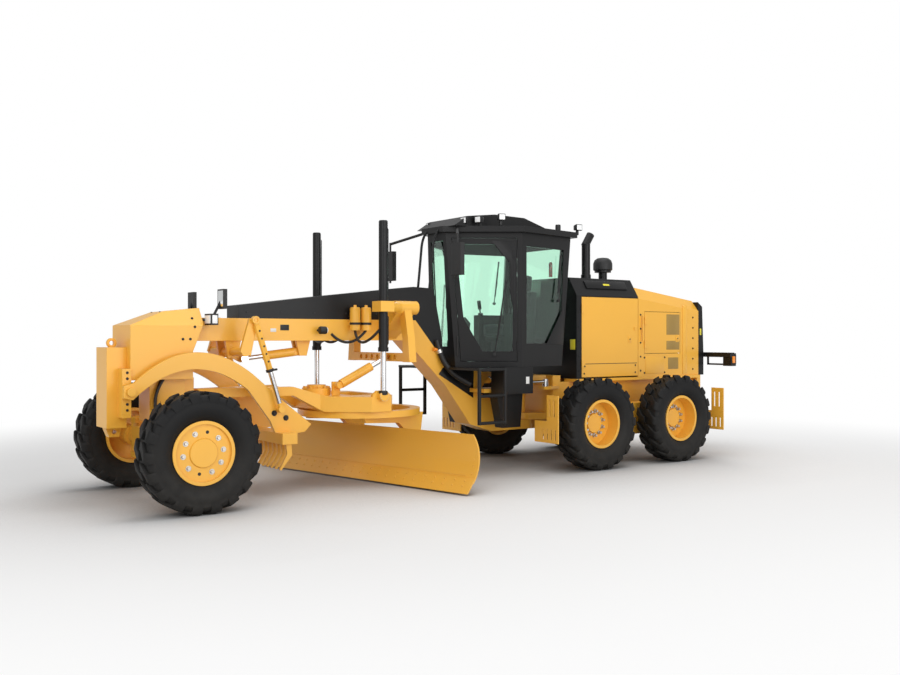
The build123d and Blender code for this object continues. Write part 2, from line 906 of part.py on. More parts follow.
def turned(shape):
    """Turn a piece made square to the machine to the blade's angle about the circle's centre."""
    return shape.rotate(Axis((X(circle_x), 0, 0), (0, 0, 1)), blade_angle)


with BuildPart() as circle:
    with Locations((X(circle_x), 0, circle_z[0])):
        Cylinder(circle_r, circle_z[1] - circle_z[0], align=(Align.CENTER, Align.CENTER, Align.MIN))
        Cylinder(circle_inner_r, 400, mode=Mode.SUBTRACT)
    for sign in (-1, 1):
        side_plate(
            [
                (circle_x + 420, circle_z[0] + 20),
                (circle_x - 560, circle_z[0] + 20),
                (circle_x - 520, 560),
                (circle_x + tip_axis[0] - 55, tip_axis[1]),
                (circle_x + tip_axis[0] + 50, tip_axis[1] + 20),
                (circle_x - 350, 520),
                (circle_x - 150, 700),
                (circle_x + 380, 730),
            ],
            sign * arm_y[0],
            sign * arm_y[1],
        )
        tip_x = circle_x + tip_axis[0]
        bar((tip_x, sign * arm_y[0], tip_axis[1]), (tip_x, sign * arm_y[1], tip_axis[1]), 56)
        bar(
            (tip_x, sign * (arm_y[0] - 1), tip_axis[1]),
            (tip_x, sign * (arm_y[1] + 1), tip_axis[1]),
            tip_pin_r + pin_gap,
            Mode.SUBTRACT,
        )
save_copy(turned(circle.part), "circle")

# Blade carrier: tipping brackets with slide shoes and the side-shift barrel
carrier_y = (arm_y[1] + seat_gap, arm_y[1] + 90)
shift_z = 430
shift_x = circle_x - 195
shift_rod_r = 24
slide_rails = ((150, 200, -35), (560, 600, -50))
blade_back = circle_x - 110
with BuildPart() as blade_carrier:
    for sign in (-1, 1):
        side_plate(
            [
                (blade_back - 16, 120),
                (blade_back - 16, 620),
                (blade_back - 90, 620),
                (blade_back - 130, 200),
                (blade_back - 100, 120),
            ],
            sign * carrier_y[0],
            sign * carrier_y[1],
        )
        bar(
            (tip_x, sign * (arm_y[0] - 20), tip_axis[1]),
            (tip_x, sign * (carrier_y[0] + 1), tip_axis[1]),
            tip_pin_r,
        )
    bar((shift_x, -carrier_y[1], shift_z), (shift_x, carrier_y[1], shift_z), 45)
    bar(
        (shift_x, 20 - carrier_y[1], shift_z),
        (shift_x, carrier_y[1] + 1, shift_z),
        shift_rod_r + slide_gap,
        Mode.SUBTRACT,
    )
save_copy(turned(blade_carrier.part), "blade_carrier")

# Mouldboard: bowed plate with cutting edge, end bits, back rails and side-shift rod
half_length = blade_length / 2
with BuildPart() as mouldboard:
    top_z = blade_ground + blade_height
    mid_z = (top_z + blade_ground + 120) / 2
    with BuildSketch(Plane.XZ.offset(-half_length)) as bow:
        with BuildLine():
            front_top = (X(circle_x) + 10, top_z)
            front_mid = (X(blade_back) + blade_t, mid_z)
            front_low = (X(circle_x) + 10, blade_ground + 100)
            back_top = (X(circle_x) + 10 - blade_t * 0.6, top_z)
            back_mid = (X(blade_back), mid_z)
            back_low = (X(circle_x) + 10 - blade_t * 0.6, blade_ground + 100)
            ThreePointArc(front_top, front_mid, front_low)
            Line(front_low, back_low)
            ThreePointArc(back_low, back_mid, back_top)
            Line(back_top, front_top)
        make_face()
    extrude(bow.sketch, amount=blade_length)
    side_plate(
        [
            (circle_x - 30, blade_ground + 143),
            (circle_x + 88, blade_ground),
            (circle_x + 114, blade_ground),
            (circle_x - 14, blade_ground + 156),
        ],
        -half_length,
        half_length,
    )
    for low, high, inner in slide_rails:
        block(blade_back - 15.5, circle_x + inner, 150 - half_length, half_length - 150, low, high)
    bar((shift_x, 60, shift_z), (shift_x, half_length - 180, shift_z), shift_rod_r)
    side_plate(
        [
            (blade_back - 150, shift_z - 60),
            (blade_back - 150, shift_z + 60),
            (blade_back + 12, shift_z + 90),
            (blade_back + 12, shift_z - 90),
        ],
        half_length - 210,
        half_length - 170,
    )
save_copy(turned(mouldboard.part), "mouldboard")

# Centre-shift cylinder between the drawbar and the link bar
shift_base = (-1990, 1160)
shift_tip = (-2625, 1470)
shift_y = 290
shift_eye_half = 32
shift_run = (Vector(shift_tip[0] - shift_base[0], 0, shift_tip[1] - shift_base[1])).normalized()


def along_shift(distance):
    """Point on the centre-shift cylinder's line, measured from its base pin."""
    return (shift_base[0] + shift_run.X * distance, shift_y, shift_base[1] + shift_run.Z * distance)


shift_length = math.hypot(shift_tip[0] - shift_base[0], shift_tip[1] - shift_base[1])
with BuildPart() as centre_shift_barrel:
    bar((shift_base[0], 230 + seat_gap, shift_base[1]), (shift_base[0], shift_y + 30, shift_base[1]), 40)
    bar(along_shift(30), along_shift(480), 52)
    bar(along_shift(80), along_shift(481), 28 + slide_gap, Mode.SUBTRACT)
save(centre_shift_barrel, "centre_shift_barrel")
with BuildPart() as centre_shift_rod:
    bar(along_shift(270), along_shift(shift_length - 30), 28)
    bar(
        (shift_tip[0], shift_y - shift_eye_half, shift_tip[1]),
        (shift_tip[0], shift_y + shift_eye_half, shift_tip[1]),
        42,
    )
save(centre_shift_rod, "centre_shift_rod")

# Scarifier: arched arms, end plates, beam and tines
beam_x = (-1120, -1300)
beam_z = (550, 670)
with BuildPart() as scarifier:
    for sign in (-1, 1):
        y0, y1 = sign * arm_inner, sign * (arm_inner + arm_wall)
        with BuildSketch(Plane.XZ.offset(-max(y0, y1))) as arm:
            with BuildLine():
                Polyline(
                    (X(arm_pin[0] + 75), arm_pin[1] - 60),
                    (X(arm_pin[0] + 75), arm_pin[1] + 60),
                    (X(arm_pin[0] - 30), arm_pin[1] + 90),
                )
                Spline((X(arm_pin[0] - 30), arm_pin[1] + 90), (X(-166), 1560), (X(-861), 1313))
                Polyline(
                    (X(-861), 1313),
                    (X(-1180), 1040),
                    (X(-1560), 740),
                    (X(-1480), 660),
                    (X(-1140), 620),
                    (X(-1060), 800),
                    (X(-800), 1150),
                )
                Spline((X(-800), 1150), (X(-200), 1385), (X(arm_pin[0] - 20), arm_pin[1] - 80))
                Line((X(arm_pin[0] - 20), arm_pin[1] - 80), (X(arm_pin[0] + 75), arm_pin[1] - 60))
            make_face()
        extrude(arm.sketch, amount=arm_wall)
        bar(
            (arm_pin[0], y0 - sign, arm_pin[1]),
            (arm_pin[0], y1 + sign, arm_pin[1]),
            arm_pin_r + pin_gap,
            Mode.SUBTRACT,
        )
        bar((link_foot[0], y1 - sign * 2, link_foot[1]), (link_foot[0], y1 + sign * 50, link_foot[1]), 30)
    block(*beam_x, -600, 600, *beam_z)
    for k in range(tine_count):
        tine_y = tine_pitch * (k - (tine_count - 1) / 2)
        side_plate(
            [
                (-1160, beam_z[1] - 20),
                (-1230, beam_z[1] - 20),
                (-1250, 430),
                (-1120, 270),
                (-1100, 280),
                (-1190, 440),
            ],
            tine_y - 14,
            tine_y + 14,
        )
save(scarifier, "scarifier")

# Bellcrank below the boom, link tubes and the scarifier cylinder
link_y = (arm_inner + arm_wall + 50 + seat_gap, arm_inner + arm_wall + 110)
crank_y = (link_y[0] - 45 - seat_gap, link_y[0] - seat_gap)
with BuildPart() as bellcrank:
    bar(
        (bell_shaft[0], -crank_y[1], bell_shaft[1]),
        (bell_shaft[0], crank_y[1], bell_shaft[1]),
        bell_shaft_r,
    )
    for sign in (-1, 1):
        side_plate(
            [
                (bell_shaft[0] - 60, bell_shaft[1] - 40),
                (bell_shaft[0] + 60, bell_shaft[1]),
                (bell_top[0] + 50, bell_top[1] + 20),
                (bell_top[0] - 50, bell_top[1] + 20),
            ],
            sign * crank_y[0],
            sign * crank_y[1],
        )
        bar(
            (bell_top[0], sign * (crank_y[1] - 2), bell_top[1]),
            (bell_top[0], sign * (link_y[1] - 10), bell_top[1]),
            24,
        )
    side_plate(
        [
            (bell_shaft[0] - 20, bell_shaft[1] + 46),
            (bell_shaft[0] + 46, bell_shaft[1] - 20),
            (ram_rod_pin[0] + 20, ram_rod_pin[1] - 45),
            (ram_rod_pin[0] - 45, ram_rod_pin[1]),
            (ram_rod_pin[0] - 20, ram_rod_pin[1] + 45),
        ],
        -70,
        -36,
    )
save(bellcrank, "bellcrank")
with BuildPart() as scarifier_links:
    for sign in (-1, 1):
        y_mid = sign * (link_y[0] + link_y[1]) / 2
        bar((bell_top[0], y_mid, bell_top[1]), (link_foot[0], y_mid, link_foot[1]), 26)
        bar((bell_top[0], sign * link_y[0], bell_top[1]), (bell_top[0], sign * link_y[1], bell_top[1]), 42)
        bar(
            (bell_top[0], sign * (link_y[0] - 1), bell_top[1]),
            (bell_top[0], sign * (link_y[1] + 1), bell_top[1]),
            24 + pin_gap,
            Mode.SUBTRACT,
        )
        bar(
            (link_foot[0], sign * link_y[0], link_foot[1]),
            (link_foot[0], sign * link_y[1], link_foot[1]),
            40,
        )
save(scarifier_links, "scarifier_links")
ram_run = Vector(ram_rod_pin[0] - ram_base_pin[0], 0, ram_rod_pin[1] - ram_base_pin[1])
ram_length = ram_run.length
ram_run = ram_run.normalized()


def along_ram(distance):
    """Point on the scarifier cylinder's line, measured from its base pin."""
    return (ram_base_pin[0] + ram_run.X * distance, 0, ram_base_pin[1] + ram_run.Z * distance)


with BuildPart() as scarifier_barrel:
    bar(
        (ram_base_pin[0], -ram_eye_half, ram_base_pin[1]),
        (ram_base_pin[0], ram_eye_half, ram_base_pin[1]),
        48,
    )
    bar(along_ram(45), along_ram(470), 50)
    bar(
        (ram_base_pin[0], -ram_eye_half - 60, ram_base_pin[1]),
        (ram_base_pin[0], ram_eye_half + 60, ram_base_pin[1]),
        ram_pin_r + pin_gap,
        Mode.SUBTRACT,
    )
    for sign in (-1, 1):
        block(
            ram_base_pin[0] - 60,
            ram_base_pin[0] + 100,
            sign * ram_eye_half,
            sign * 100,
            1400,
            1700,
            Mode.SUBTRACT,
        )
    bar(along_ram(70), along_ram(471), 26 + slide_gap, Mode.SUBTRACT)
save(scarifier_barrel, "scarifier_barrel")
with BuildPart() as scarifier_rod:
    bar(along_ram(130), along_ram(ram_length - 20), 26)
    bar((ram_rod_pin[0], -36 + seat_gap, ram_rod_pin[1]), (ram_rod_pin[0], 30, ram_rod_pin[1]), 42)
save(scarifier_rod, "scarifier_rod")

# Articulation cylinders, pinned to the front frame and reaching the rear frame's lugs
for side, sign in (("left", 1), ("right", -1)):
    start = Vector(art_front[0], sign * art_front[1], art_z)
    end = Vector(art_rear[0], sign * art_rear[1], art_z)
    run = (end - start).normalized()
    reach = (end - start).length
    with BuildPart() as art_barrel:
        bar((start.X, start.Y, 1060 + seat_gap), (start.X, start.Y, art_z + 45), 45)
        tail, head = start + run * 20, start + run * 520
        hole = start + run * 80
        bar(tuple(tail), tuple(head), 42)
        bar(tuple(hole), tuple(head + run), 24 + slide_gap, Mode.SUBTRACT)
    save(art_barrel, f"articulation_barrel_{side}")
    with BuildPart() as art_rod:
        bar(tuple(start + run * 265), tuple(end - run * 20), 24)
        bar((end.X, end.Y, art_z - 60 + seat_gap), (end.X, end.Y, art_z + 40), 40)
    save(art_rod, f"articulation_rod_{side}")

# Cab: hollow shell on a plan with angled front sides
cab_plan = [
    post_a,
    post_b,
    post_c,
    (post_c[0], -post_c[1]),
    (post_b[0], -post_b[1]),
    (post_a[0], -post_a[1]),
]


def cab_volume(inset, bottom, top):
    """Cab's outer volume drawn in by a wall, with leaning front and rear faces."""
    with BuildPart() as volume:
        with BuildSketch(Plane.XY.offset(bottom)) as plan:
            with BuildLine():
                Polyline(*[(X(x), y) for x, y in cab_plan], close=True)
            make_face()
            if inset:
                offset(amount=-inset, kind=Kind.INTERSECTION)
        extrude(plan.sketch, amount=top - bottom)
        front = post_a[0] - inset
        rear = post_c[0] + inset
        side_plate(
            [
                (front, cab_top),
                (front + 500, cab_top),
                (front + 500, cab_floor),
                (front - front_lean, cab_floor),
            ],
            -900,
            900,
            Mode.SUBTRACT,
        )
        side_plate(
            [
                (rear, cab_top),
                (rear - 500, cab_top),
                (rear - 500, cab_floor),
                (rear + rear_lean, cab_floor),
            ],
            -900,
            900,
            Mode.SUBTRACT,
        )
    return volume.part


def wall_plane(start, end, sign):
    """Plane of a cab side wall: along it from one post to the next, up, and outwards."""
    a = Vector(X(start[0]), sign * start[1], 0)
    b = Vector(X(end[0]), sign * end[1], 0)
    run = (b - a).normalized()
    outward = Vector(-run.Y, run.X, 0) * -1 if sign > 0 else Vector(-run.Y, run.X, 0)
    return Plane(origin=a, x_dir=run, z_dir=outward)


def wall_piece(plane, points, depth, thickness, sign, mode=Mode.ADD):
    """Outline on a wall plane, as (along, height), from a depth inwards by a thickness."""
    flip = 1 if plane.y_dir.Z > 0 else -1
    with BuildSketch(plane.offset(-depth)) as outline:
        with BuildLine():
            Polyline(*[(u, flip * v) for u, v in points], close=True)
        make_face()
    extrude(outline.sketch, amount=-thickness, mode=mode)


def inset_outline(points, gap):
    """Outline drawn in towards its middle by a gap on each side."""
    cu = sum(u for u, v in points) / len(points)
    cv = sum(v for u, v in points) / len(points)
    return [(u + math.copysign(gap, cu - u), v + math.copysign(gap, cv - v)) for u, v in points]


door_run = math.hypot(post_b[0] - post_a[0], post_b[1] - post_a[1])
door_outline = [(75, 2980), (door_run - 60, 2980), (door_run - 60, 1410), (190, 1410)]
door_window = [(130, 2900), (door_run - 120, 2900), (door_run - 120, 1540), (470, 1540), (230, 1960)]
quarter_window = [(90, 2880), (870, 2880), (800, 1640), (90, 1640)]
cab_inside = cab_volume(cab_wall, cab_floor + 60, cab_top)
front_window = (140, 1600, 2950)
rear_window = (460, 1700, 2920)
with BuildPart() as cab_shell:
    add(cab_volume(0, cab_floor, cab_top))
    add(cab_inside, mode=Mode.SUBTRACT)
    for sign in (-1, 1):
        wall_piece(wall_plane(post_a, post_b, sign), door_outline, -20, cab_wall + 60, sign, Mode.SUBTRACT)
        wall_piece(
            wall_plane(post_b, post_c, sign),
            quarter_window,
            -20,
            cab_wall + 60,
            sign,
            Mode.SUBTRACT,
        )
    block(-3500, -3800, -front_window[0], front_window[0], front_window[1], front_window[2], Mode.SUBTRACT)
    block(-5100, -5500, -rear_window[0], rear_window[0], rear_window[1], rear_window[2], Mode.SUBTRACT)
save(cab_shell, "cab_shell")

with BuildPart() as cab_glass:
    lean = front_lean / (cab_top - cab_floor)
    half, low, high = front_window
    x_low = post_a[0] - 20 - lean * (cab_top - low)
    x_high = post_a[0] - 20 - lean * (cab_top - high)
    side_plate(
        [
            (x_low, low + seat_gap),
            (x_high, high - seat_gap),
            (x_high - glass_t, high - seat_gap),
            (x_low - glass_t, low + seat_gap),
        ],
        seat_gap - half,
        half - seat_gap,
    )
    lean = rear_lean / (cab_top - cab_floor)
    half, low, high = rear_window
    x_low = post_c[0] + 20 + lean * (cab_top - low)
    x_high = post_c[0] + 20 + lean * (cab_top - high)
    side_plate(
        [
            (x_low, low + seat_gap),
            (x_high, high - seat_gap),
            (x_high + glass_t, high - seat_gap),
            (x_low + glass_t, low + seat_gap),
        ],
        seat_gap - half,
        half - seat_gap,
    )
    for sign in (-1, 1):
        wall_piece(
            wall_plane(post_b, post_c, sign),
            inset_outline(quarter_window, seat_gap),
            20,
            glass_t,
            sign,
        )
save(cab_glass, "cab_glass")

for side, sign in (("left", 1), ("right", -1)):
    plane = wall_plane(post_a, post_b, sign)
    with BuildPart() as cab_door:
        wall_piece(plane, inset_outline(door_outline, door_gap), 0, cab_wall, sign)
        wall_piece(plane, door_window, -20, cab_wall + 60, sign, Mode.SUBTRACT)
        pin = plane.origin + plane.x_dir * (door_run - 60) + plane.z_dir * (hinge_r + hinge_gap)
        for hinge_z in (1560, 2720):
            bar(
                (pin.X - front_axle_x, pin.Y, hinge_z),
                (pin.X - front_axle_x, pin.Y, hinge_z + hinge_length),
                hinge_r,
            )
            leaf = [(door_run - 120, hinge_z), (door_run - 62, hinge_z)]
            leaf += [(u, hinge_z + hinge_length) for u, v in reversed(leaf)]
            wall_piece(plane, leaf, -hinge_r, hinge_r + 4, sign)
    save(cab_door, f"cab_door_{side}")
    with BuildPart() as door_glass:
        wall_piece(plane, inset_outline(door_window, seat_gap), 20, glass_t, sign)
    save(door_glass, f"door_glass_{side}")

# Roof: rim over the cab's plan and a crowned top
roof_lap = 70
with BuildPart() as cab_roof:
    with BuildSketch(Plane.XY.offset(cab_top)) as roof_plan:
        with BuildLine():
            Polyline(*[(X(x), y) for x, y in cab_plan], close=True)
        make_face()
        offset(amount=roof_lap, kind=Kind.INTERSECTION)
    extrude(roof_plan.sketch, amount=75)
    side_plate(
        [
            (-3560, cab_top + 70),
            (-3760, 3250),
            (-4200, 3300),
            (-4700, 3290),
            (-5200, 3140),
            (-5420, cab_top + 70),
        ],
        -420,
        420,
    )
save(cab_roof, "cab_roof")

# Seat and console inside the cab
with BuildPart() as seat:
    block(-4500, -5000, -240, 240, cab_floor + 300, cab_floor + 560)
    side_plate(
        [
            (-4880, cab_floor + 560),
            (-4980, cab_floor + 1160),
            (-5080, cab_floor + 1160),
            (-5020, cab_floor + 560),
        ],
        -240,
        240,
    )
    block(-4560, -4900, -180, 180, cab_floor + 60, cab_floor + 300)
save(seat, "seat")
with BuildPart() as cab_console:
    side_plate(
        [
            (-3850, cab_floor + 60),
            (-3850, cab_floor + 560),
            (-3980, cab_floor + 640),
            (-4060, cab_floor + 560),
            (-4000, cab_floor + 60),
        ],
        -90,
        90,
    )
    for sign in (-1, 1):
        block(-4480, -4900, sign * 270, sign * 390, cab_floor + 60, cab_floor + 680)
save(cab_console, "cab_console")

# Side steps: ladders, platforms and side boxes below the cab
ladder_x = (-3600, -4000)
ladder_y = 880
with BuildPart() as side_steps:
    for sign in (-1, 1):
        for along in ladder_x:
            bar((along, sign * ladder_y, 650), (along, sign * ladder_y, cab_floor), 24)
        for rung_z in (670, 1000, 1320):
            bar((ladder_x[0], sign * ladder_y, rung_z), (ladder_x[1], sign * ladder_y, rung_z), 20)
        plan_plate(
            [
                (ladder_x[0] + 20, sign * (ladder_y + 20)),
                (ladder_x[1] - 20, sign * (ladder_y + 20)),
                (ladder_x[1] - 20, sign * 400),
                (ladder_x[0] + 20, sign * boom_half),
            ],
            cab_floor - 30,
            cab_floor,
        )
        block(-4080, -4560, sign * 500, sign * 760, 1000, cab_floor)
        side_plate([(-4110, 1005), (-4540, 1005), (-4500, 560), (-4210, 560)], sign * 420, sign * 580)
save(side_steps, "side_steps")

# Mirrors and lamps on their brackets
with BuildPart() as mirrors_lamps:
    for sign in (-1, 1):
        wall = wall_plane(post_a, post_b, sign)
        root = wall.origin + wall.x_dir * 150 + wall.z_dir * (roof_lap + 0.2)
        elbow = root + wall.z_dir * 40
        bar((root.X - front_axle_x, root.Y, 3085), (elbow.X - front_axle_x, elbow.Y, 3085), 18)
        bar((elbow.X - front_axle_x, elbow.Y, 3085), (-3360, sign * 760, 2960), 18)
        bar((-3360, sign * 760, 2980), (-3360, sign * 760, 2440), 14)
        block(-3330, -3390, sign * 660, sign * 860, 2470, 2860)
        bar((-350, sign * 235, 1905), (-400, sign * 235, 1905), 14)
        block(-390, -470, sign * 215, sign * 400, 1850, 1970)
        bar((-430, sign * 380, 1960), (-500, sign * 430, 2130), 14)
        block(-480, -520, sign * 350, sign * 520, 2020, 2230)
save(mirrors_lamps, "mirrors_lamps")
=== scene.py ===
"""Looks of the motor grader: finishes for its solids, tyres, fittings, stage and camera."""
import json
import math

import bpy
from bpy.props import FloatProperty, FloatVectorProperty, IntProperty, PointerProperty
from mathutils import Matrix, Vector


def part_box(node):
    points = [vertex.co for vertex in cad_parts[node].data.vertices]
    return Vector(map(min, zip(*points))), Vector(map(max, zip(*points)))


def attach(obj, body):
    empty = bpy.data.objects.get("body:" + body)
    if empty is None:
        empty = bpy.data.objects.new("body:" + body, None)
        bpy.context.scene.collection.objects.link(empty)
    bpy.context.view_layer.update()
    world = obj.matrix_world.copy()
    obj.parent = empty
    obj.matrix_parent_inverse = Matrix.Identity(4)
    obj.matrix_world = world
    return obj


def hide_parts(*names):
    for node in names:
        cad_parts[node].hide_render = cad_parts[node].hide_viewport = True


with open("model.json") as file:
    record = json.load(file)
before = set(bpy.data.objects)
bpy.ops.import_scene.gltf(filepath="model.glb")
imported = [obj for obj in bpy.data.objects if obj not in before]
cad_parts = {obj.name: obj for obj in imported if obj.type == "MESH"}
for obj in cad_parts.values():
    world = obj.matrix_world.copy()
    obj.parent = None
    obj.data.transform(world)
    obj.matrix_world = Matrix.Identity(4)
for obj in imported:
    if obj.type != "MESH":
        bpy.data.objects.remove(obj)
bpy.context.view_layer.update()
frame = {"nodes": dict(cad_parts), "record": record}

bl_info = {
    "name": "Motor grader looks",
    "version": (1, 0, 0),
    "blender": (4, 5, 0),
    "location": "View3D > Sidebar > Grader",
    "description": "Finishes, tyres, fittings and stage for the motor grader",
    "category": "Object",
}

WHEELS = [(place, side) for place in ("front", "mid", "rear") for side in ("left", "right")]
SIDES = (("left", 1), ("right", -1))
FINISHES = {}


def middle(node):
    """Centre of a CAD node's box."""
    low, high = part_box(node)
    return (low + high) / 2


FRONT_AXLE_X = middle("front_tyre_left").x


def at(along, across, height):
    """Point given by its place along the machine from the front axle, across it and its height."""
    return Vector((FRONT_AXLE_X + along, across, height))


def linear(red, green, blue):
    """Scene-linear colour of an sRGB colour given in 0 to 255."""
    parts = []
    for value in (red, green, blue):
        share = value / 255
        parts.append(share / 12.92 if share <= 0.04045 else ((share + 0.055) / 1.055) ** 2.4)
    return parts


# Sizes and colours that a user would change


class GraderColours(bpy.types.PropertyGroup):
    """Colours of the machine's finishes."""

    paint: FloatVectorProperty(
        name="Paint", description="Yellow machine paint", subtype="COLOR", size=3,
        default=linear(243, 181, 62),
    )
    dark: FloatVectorProperty(
        name="Dark paint", description="Black satin paint", subtype="COLOR", size=3,
        default=linear(17, 17, 18),
    )
    rubber: FloatVectorProperty(
        name="Rubber", description="Tyre rubber", subtype="COLOR", size=3,
        default=linear(15, 15, 16),
    )
    glass: FloatVectorProperty(
        name="Glass", description="Tint of one glass face", subtype="COLOR", size=3,
        default=(0.735, 0.975, 0.845),
    )
    floor: FloatVectorProperty(
        name="Floor", description="Studio floor", subtype="COLOR", size=3,
        default=(0.82, 0.82, 0.82),
    )


class GraderSizes(bpy.types.PropertyGroup):
    """Sizes of the fittings."""

    tread_bars: IntProperty(name="Tread bars", description="Bars on each side of a tyre", default=18, min=8)
    tread_depth: FloatProperty(
        name="Tread depth", description="Height of a tread bar",
        default=0.032, subtype="DISTANCE", unit="LENGTH",
    )
    spin_steps: IntProperty(name="Spin steps", description="Steps round a tyre", default=80, min=24)
    bolt_radius: FloatProperty(
        name="Wheel bolt", description="Radius of a wheel bolt's head",
        default=0.019, subtype="DISTANCE", unit="LENGTH",
    )
    hose_radius: FloatProperty(
        name="Hose", description="Outer radius of a hose",
        default=0.016, subtype="DISTANCE", unit="LENGTH",
    )
    lens: FloatProperty(
        name="Camera lens", description="Focal length that matches the photograph",
        default=38.46, unit="CAMERA",
    )


def colours():
    """The scene's colours."""
    return bpy.context.scene.grader_colours


def sizes():
    """The scene's sizes."""
    return bpy.context.scene.grader_sizes


# Modelling helpers


def deselect():
    """Leave edit mode and select nothing."""
    if bpy.context.object and bpy.context.object.mode != "OBJECT":
        bpy.ops.object.mode_set(mode="OBJECT")
    bpy.ops.object.select_all(action="DESELECT")


def only(piece):
    """Select one piece and make it active."""
    deselect()
    piece.select_set(True)
    bpy.context.view_layer.objects.active = piece


def apply_place(piece, name):
    """Name a piece and move its place into its mesh."""
    only(piece)
    bpy.ops.object.transform_apply(location=True, rotation=True, scale=True)
    piece.name = name
    piece.data.name = name
    return piece


def round_edges(piece, width, steps=2, angle=30):
    """Round the sharp edges of a piece with an applied bevel."""
    only(piece)
    bevel = piece.modifiers.new("round", "BEVEL")
    bevel.width = width
    bevel.segments = steps
    bevel.limit_method = "ANGLE"
    bevel.angle_limit = math.radians(angle)
    bpy.ops.object.modifier_apply(modifier=bevel.name)
    return piece


def block(name, low, high, edge=0.004):
    """Box between two corners, its edges rounded."""
    deselect()
    low, high = Vector(low), Vector(high)
    bpy.ops.mesh.primitive_cube_add(size=1, location=(low + high) / 2)
    piece = bpy.context.active_object
    piece.scale = [abs(b - a) for a, b in zip(low, high)]
    apply_place(piece, name)
    if edge:
        round_edges(piece, edge)
    return piece


def rod(name, start, end, radius, sides=20, edge=0.0):
    """Round bar between two points."""
    deselect()
    start, end = Vector(start), Vector(end)
    run = end - start
    bpy.ops.mesh.primitive_cylinder_add(
        vertices=sides,
        radius=radius,
        depth=run.length,
        location=(start + end) / 2,
        rotation=run.to_track_quat("Z", "Y").to_euler(),
    )
    piece = apply_place(bpy.context.active_object, name)
    if edge:
        round_edges(piece, edge, angle=50)
    return piece


def pipe(name, points, radius, smooth=True, sides=4):
    """Tube along a line of points, made from a path."""
    deselect()
    bpy.ops.curve.primitive_nurbs_path_add()
    path = bpy.context.active_object
    path.data.splines.clear()
    spline = path.data.splines.new("NURBS" if smooth else "POLY")
    spline.points.add(len(points) - 1)
    for spot, point in zip(spline.points, points):
        spot.co = (*point, 1)
    if smooth:
        spline.order_u = 3
        spline.use_endpoint_u = True
        spline.resolution_u = 6
    path.data.bevel_depth = radius
    path.data.bevel_resolution = sides
    path.data.use_fill_caps = True
    path.location = (0, 0, 0)
    only(path)
    bpy.ops.object.convert(target="MESH")
    return apply_place(bpy.context.active_object, name)


def lathe(name, profile, steps, centre=(0, 0, 0), axis=(0, 0, 1)):
    """Closed profile, as (radius, along the axis), spun round an axis through a centre."""
    deselect()
    bpy.ops.mesh.primitive_circle_add(vertices=len(profile), radius=1, fill_type="NOTHING")
    piece = bpy.context.active_object
    axis = Vector(axis).normalized()
    out = axis.orthogonal().normalized()
    for vertex, (radius, along) in zip(piece.data.vertices, profile):
        vertex.co = Vector(centre) + out * radius + axis * along
    bpy.ops.object.mode_set(mode="EDIT")
    bpy.ops.mesh.select_all(action="SELECT")
    bpy.ops.mesh.spin(steps=steps, angle=math.tau, center=centre, axis=axis)
    bpy.ops.mesh.select_all(action="SELECT")
    bpy.ops.mesh.remove_doubles(threshold=0.0002)
    bpy.ops.mesh.normals_make_consistent(inside=False)
    bpy.ops.object.mode_set(mode="OBJECT")
    return apply_place(piece, name)


def thicken(move):
    """Extrude the active flat mesh and turn its faces outward."""
    bpy.ops.object.mode_set(mode="EDIT")
    bpy.ops.mesh.select_all(action="SELECT")
    bpy.ops.mesh.extrude_region_move(TRANSFORM_OT_translate={"value": move})
    bpy.ops.mesh.select_all(action="SELECT")
    bpy.ops.mesh.normals_make_consistent(inside=False)
    bpy.ops.object.mode_set(mode="OBJECT")


def twin_of(template, place):
    """Copy of a template with its own mesh, moved to a place."""
    twin = template.copy()
    twin.data = template.data.copy()
    twin.data.transform(place)
    bpy.context.scene.collection.objects.link(twin)
    return twin


def copies(template, places, name):
    """Stamp a template at each place and join the copies into one piece."""
    return join([twin_of(template, place) for place in places], name)


def join(parts, name):
    """Join several pieces into one."""
    deselect()
    for part in parts:
        part.select_set(True)
    bpy.context.view_layer.objects.active = parts[0]
    if len(parts) > 1:
        bpy.ops.object.join()
    piece = bpy.context.active_object
    piece.name = name
    piece.data.name = name
    return piece


def discard(piece):
    """Remove a template that was copied."""
    bpy.data.objects.remove(piece)


def facing(point, direction, turn=0.0):
    """Placement that sets a template's +Z along a direction at a point."""
    quaternion = Vector(direction).to_track_quat("Z", "Y")
    return Matrix.Translation(point) @ quaternion.to_matrix().to_4x4() @ Matrix.Rotation(turn, 4, "Z")


def dress(piece, body, finish, smooth=35):
    """Give a piece the finish of that name and make it ride on a body."""
    only(piece)
    piece.data.materials.clear()
    piece.data.materials.append(FINISHES[finish])
    if smooth:
        bpy.ops.object.shade_smooth_by_angle(angle=math.radians(smooth))
    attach(piece, body)
    return piece


def hex_bolt(radius, height):
    """Hexagon head on a round washer, standing on z 0."""
    deselect()
    bpy.ops.mesh.primitive_cylinder_add(
        vertices=6, radius=radius, depth=height * 0.75, location=(0, 0, height * 0.6)
    )
    head = apply_place(bpy.context.active_object, "bolt_head")
    round_edges(head, radius * 0.12, 1)
    bpy.ops.mesh.primitive_cylinder_add(
        vertices=14, radius=radius * 1.45, depth=height * 0.3, location=(0, 0, height * 0.1)
    )
    washer = apply_place(bpy.context.active_object, "bolt_washer")
    return join([head, washer], "bolt")


def land(node, start, direction):
    """Point and outward normal where a line from outside first meets a CAD node."""
    solid = frame["nodes"][node]
    back = solid.matrix_world.inverted()
    hit, point, normal, _ = solid.ray_cast(back @ Vector(start), back.to_3x3() @ Vector(direction))
    if not hit:
        raise RuntimeError(f"no face of {node} under the fitting")
    return solid.matrix_world @ point, (solid.matrix_world.to_3x3() @ normal).normalized()


def on_side(node, sign, along, height):
    """Placement on a node's side face, seen from that side of the machine."""
    return facing(*land(node, at(along, sign * 2.5, height), (0, -sign, 0)))


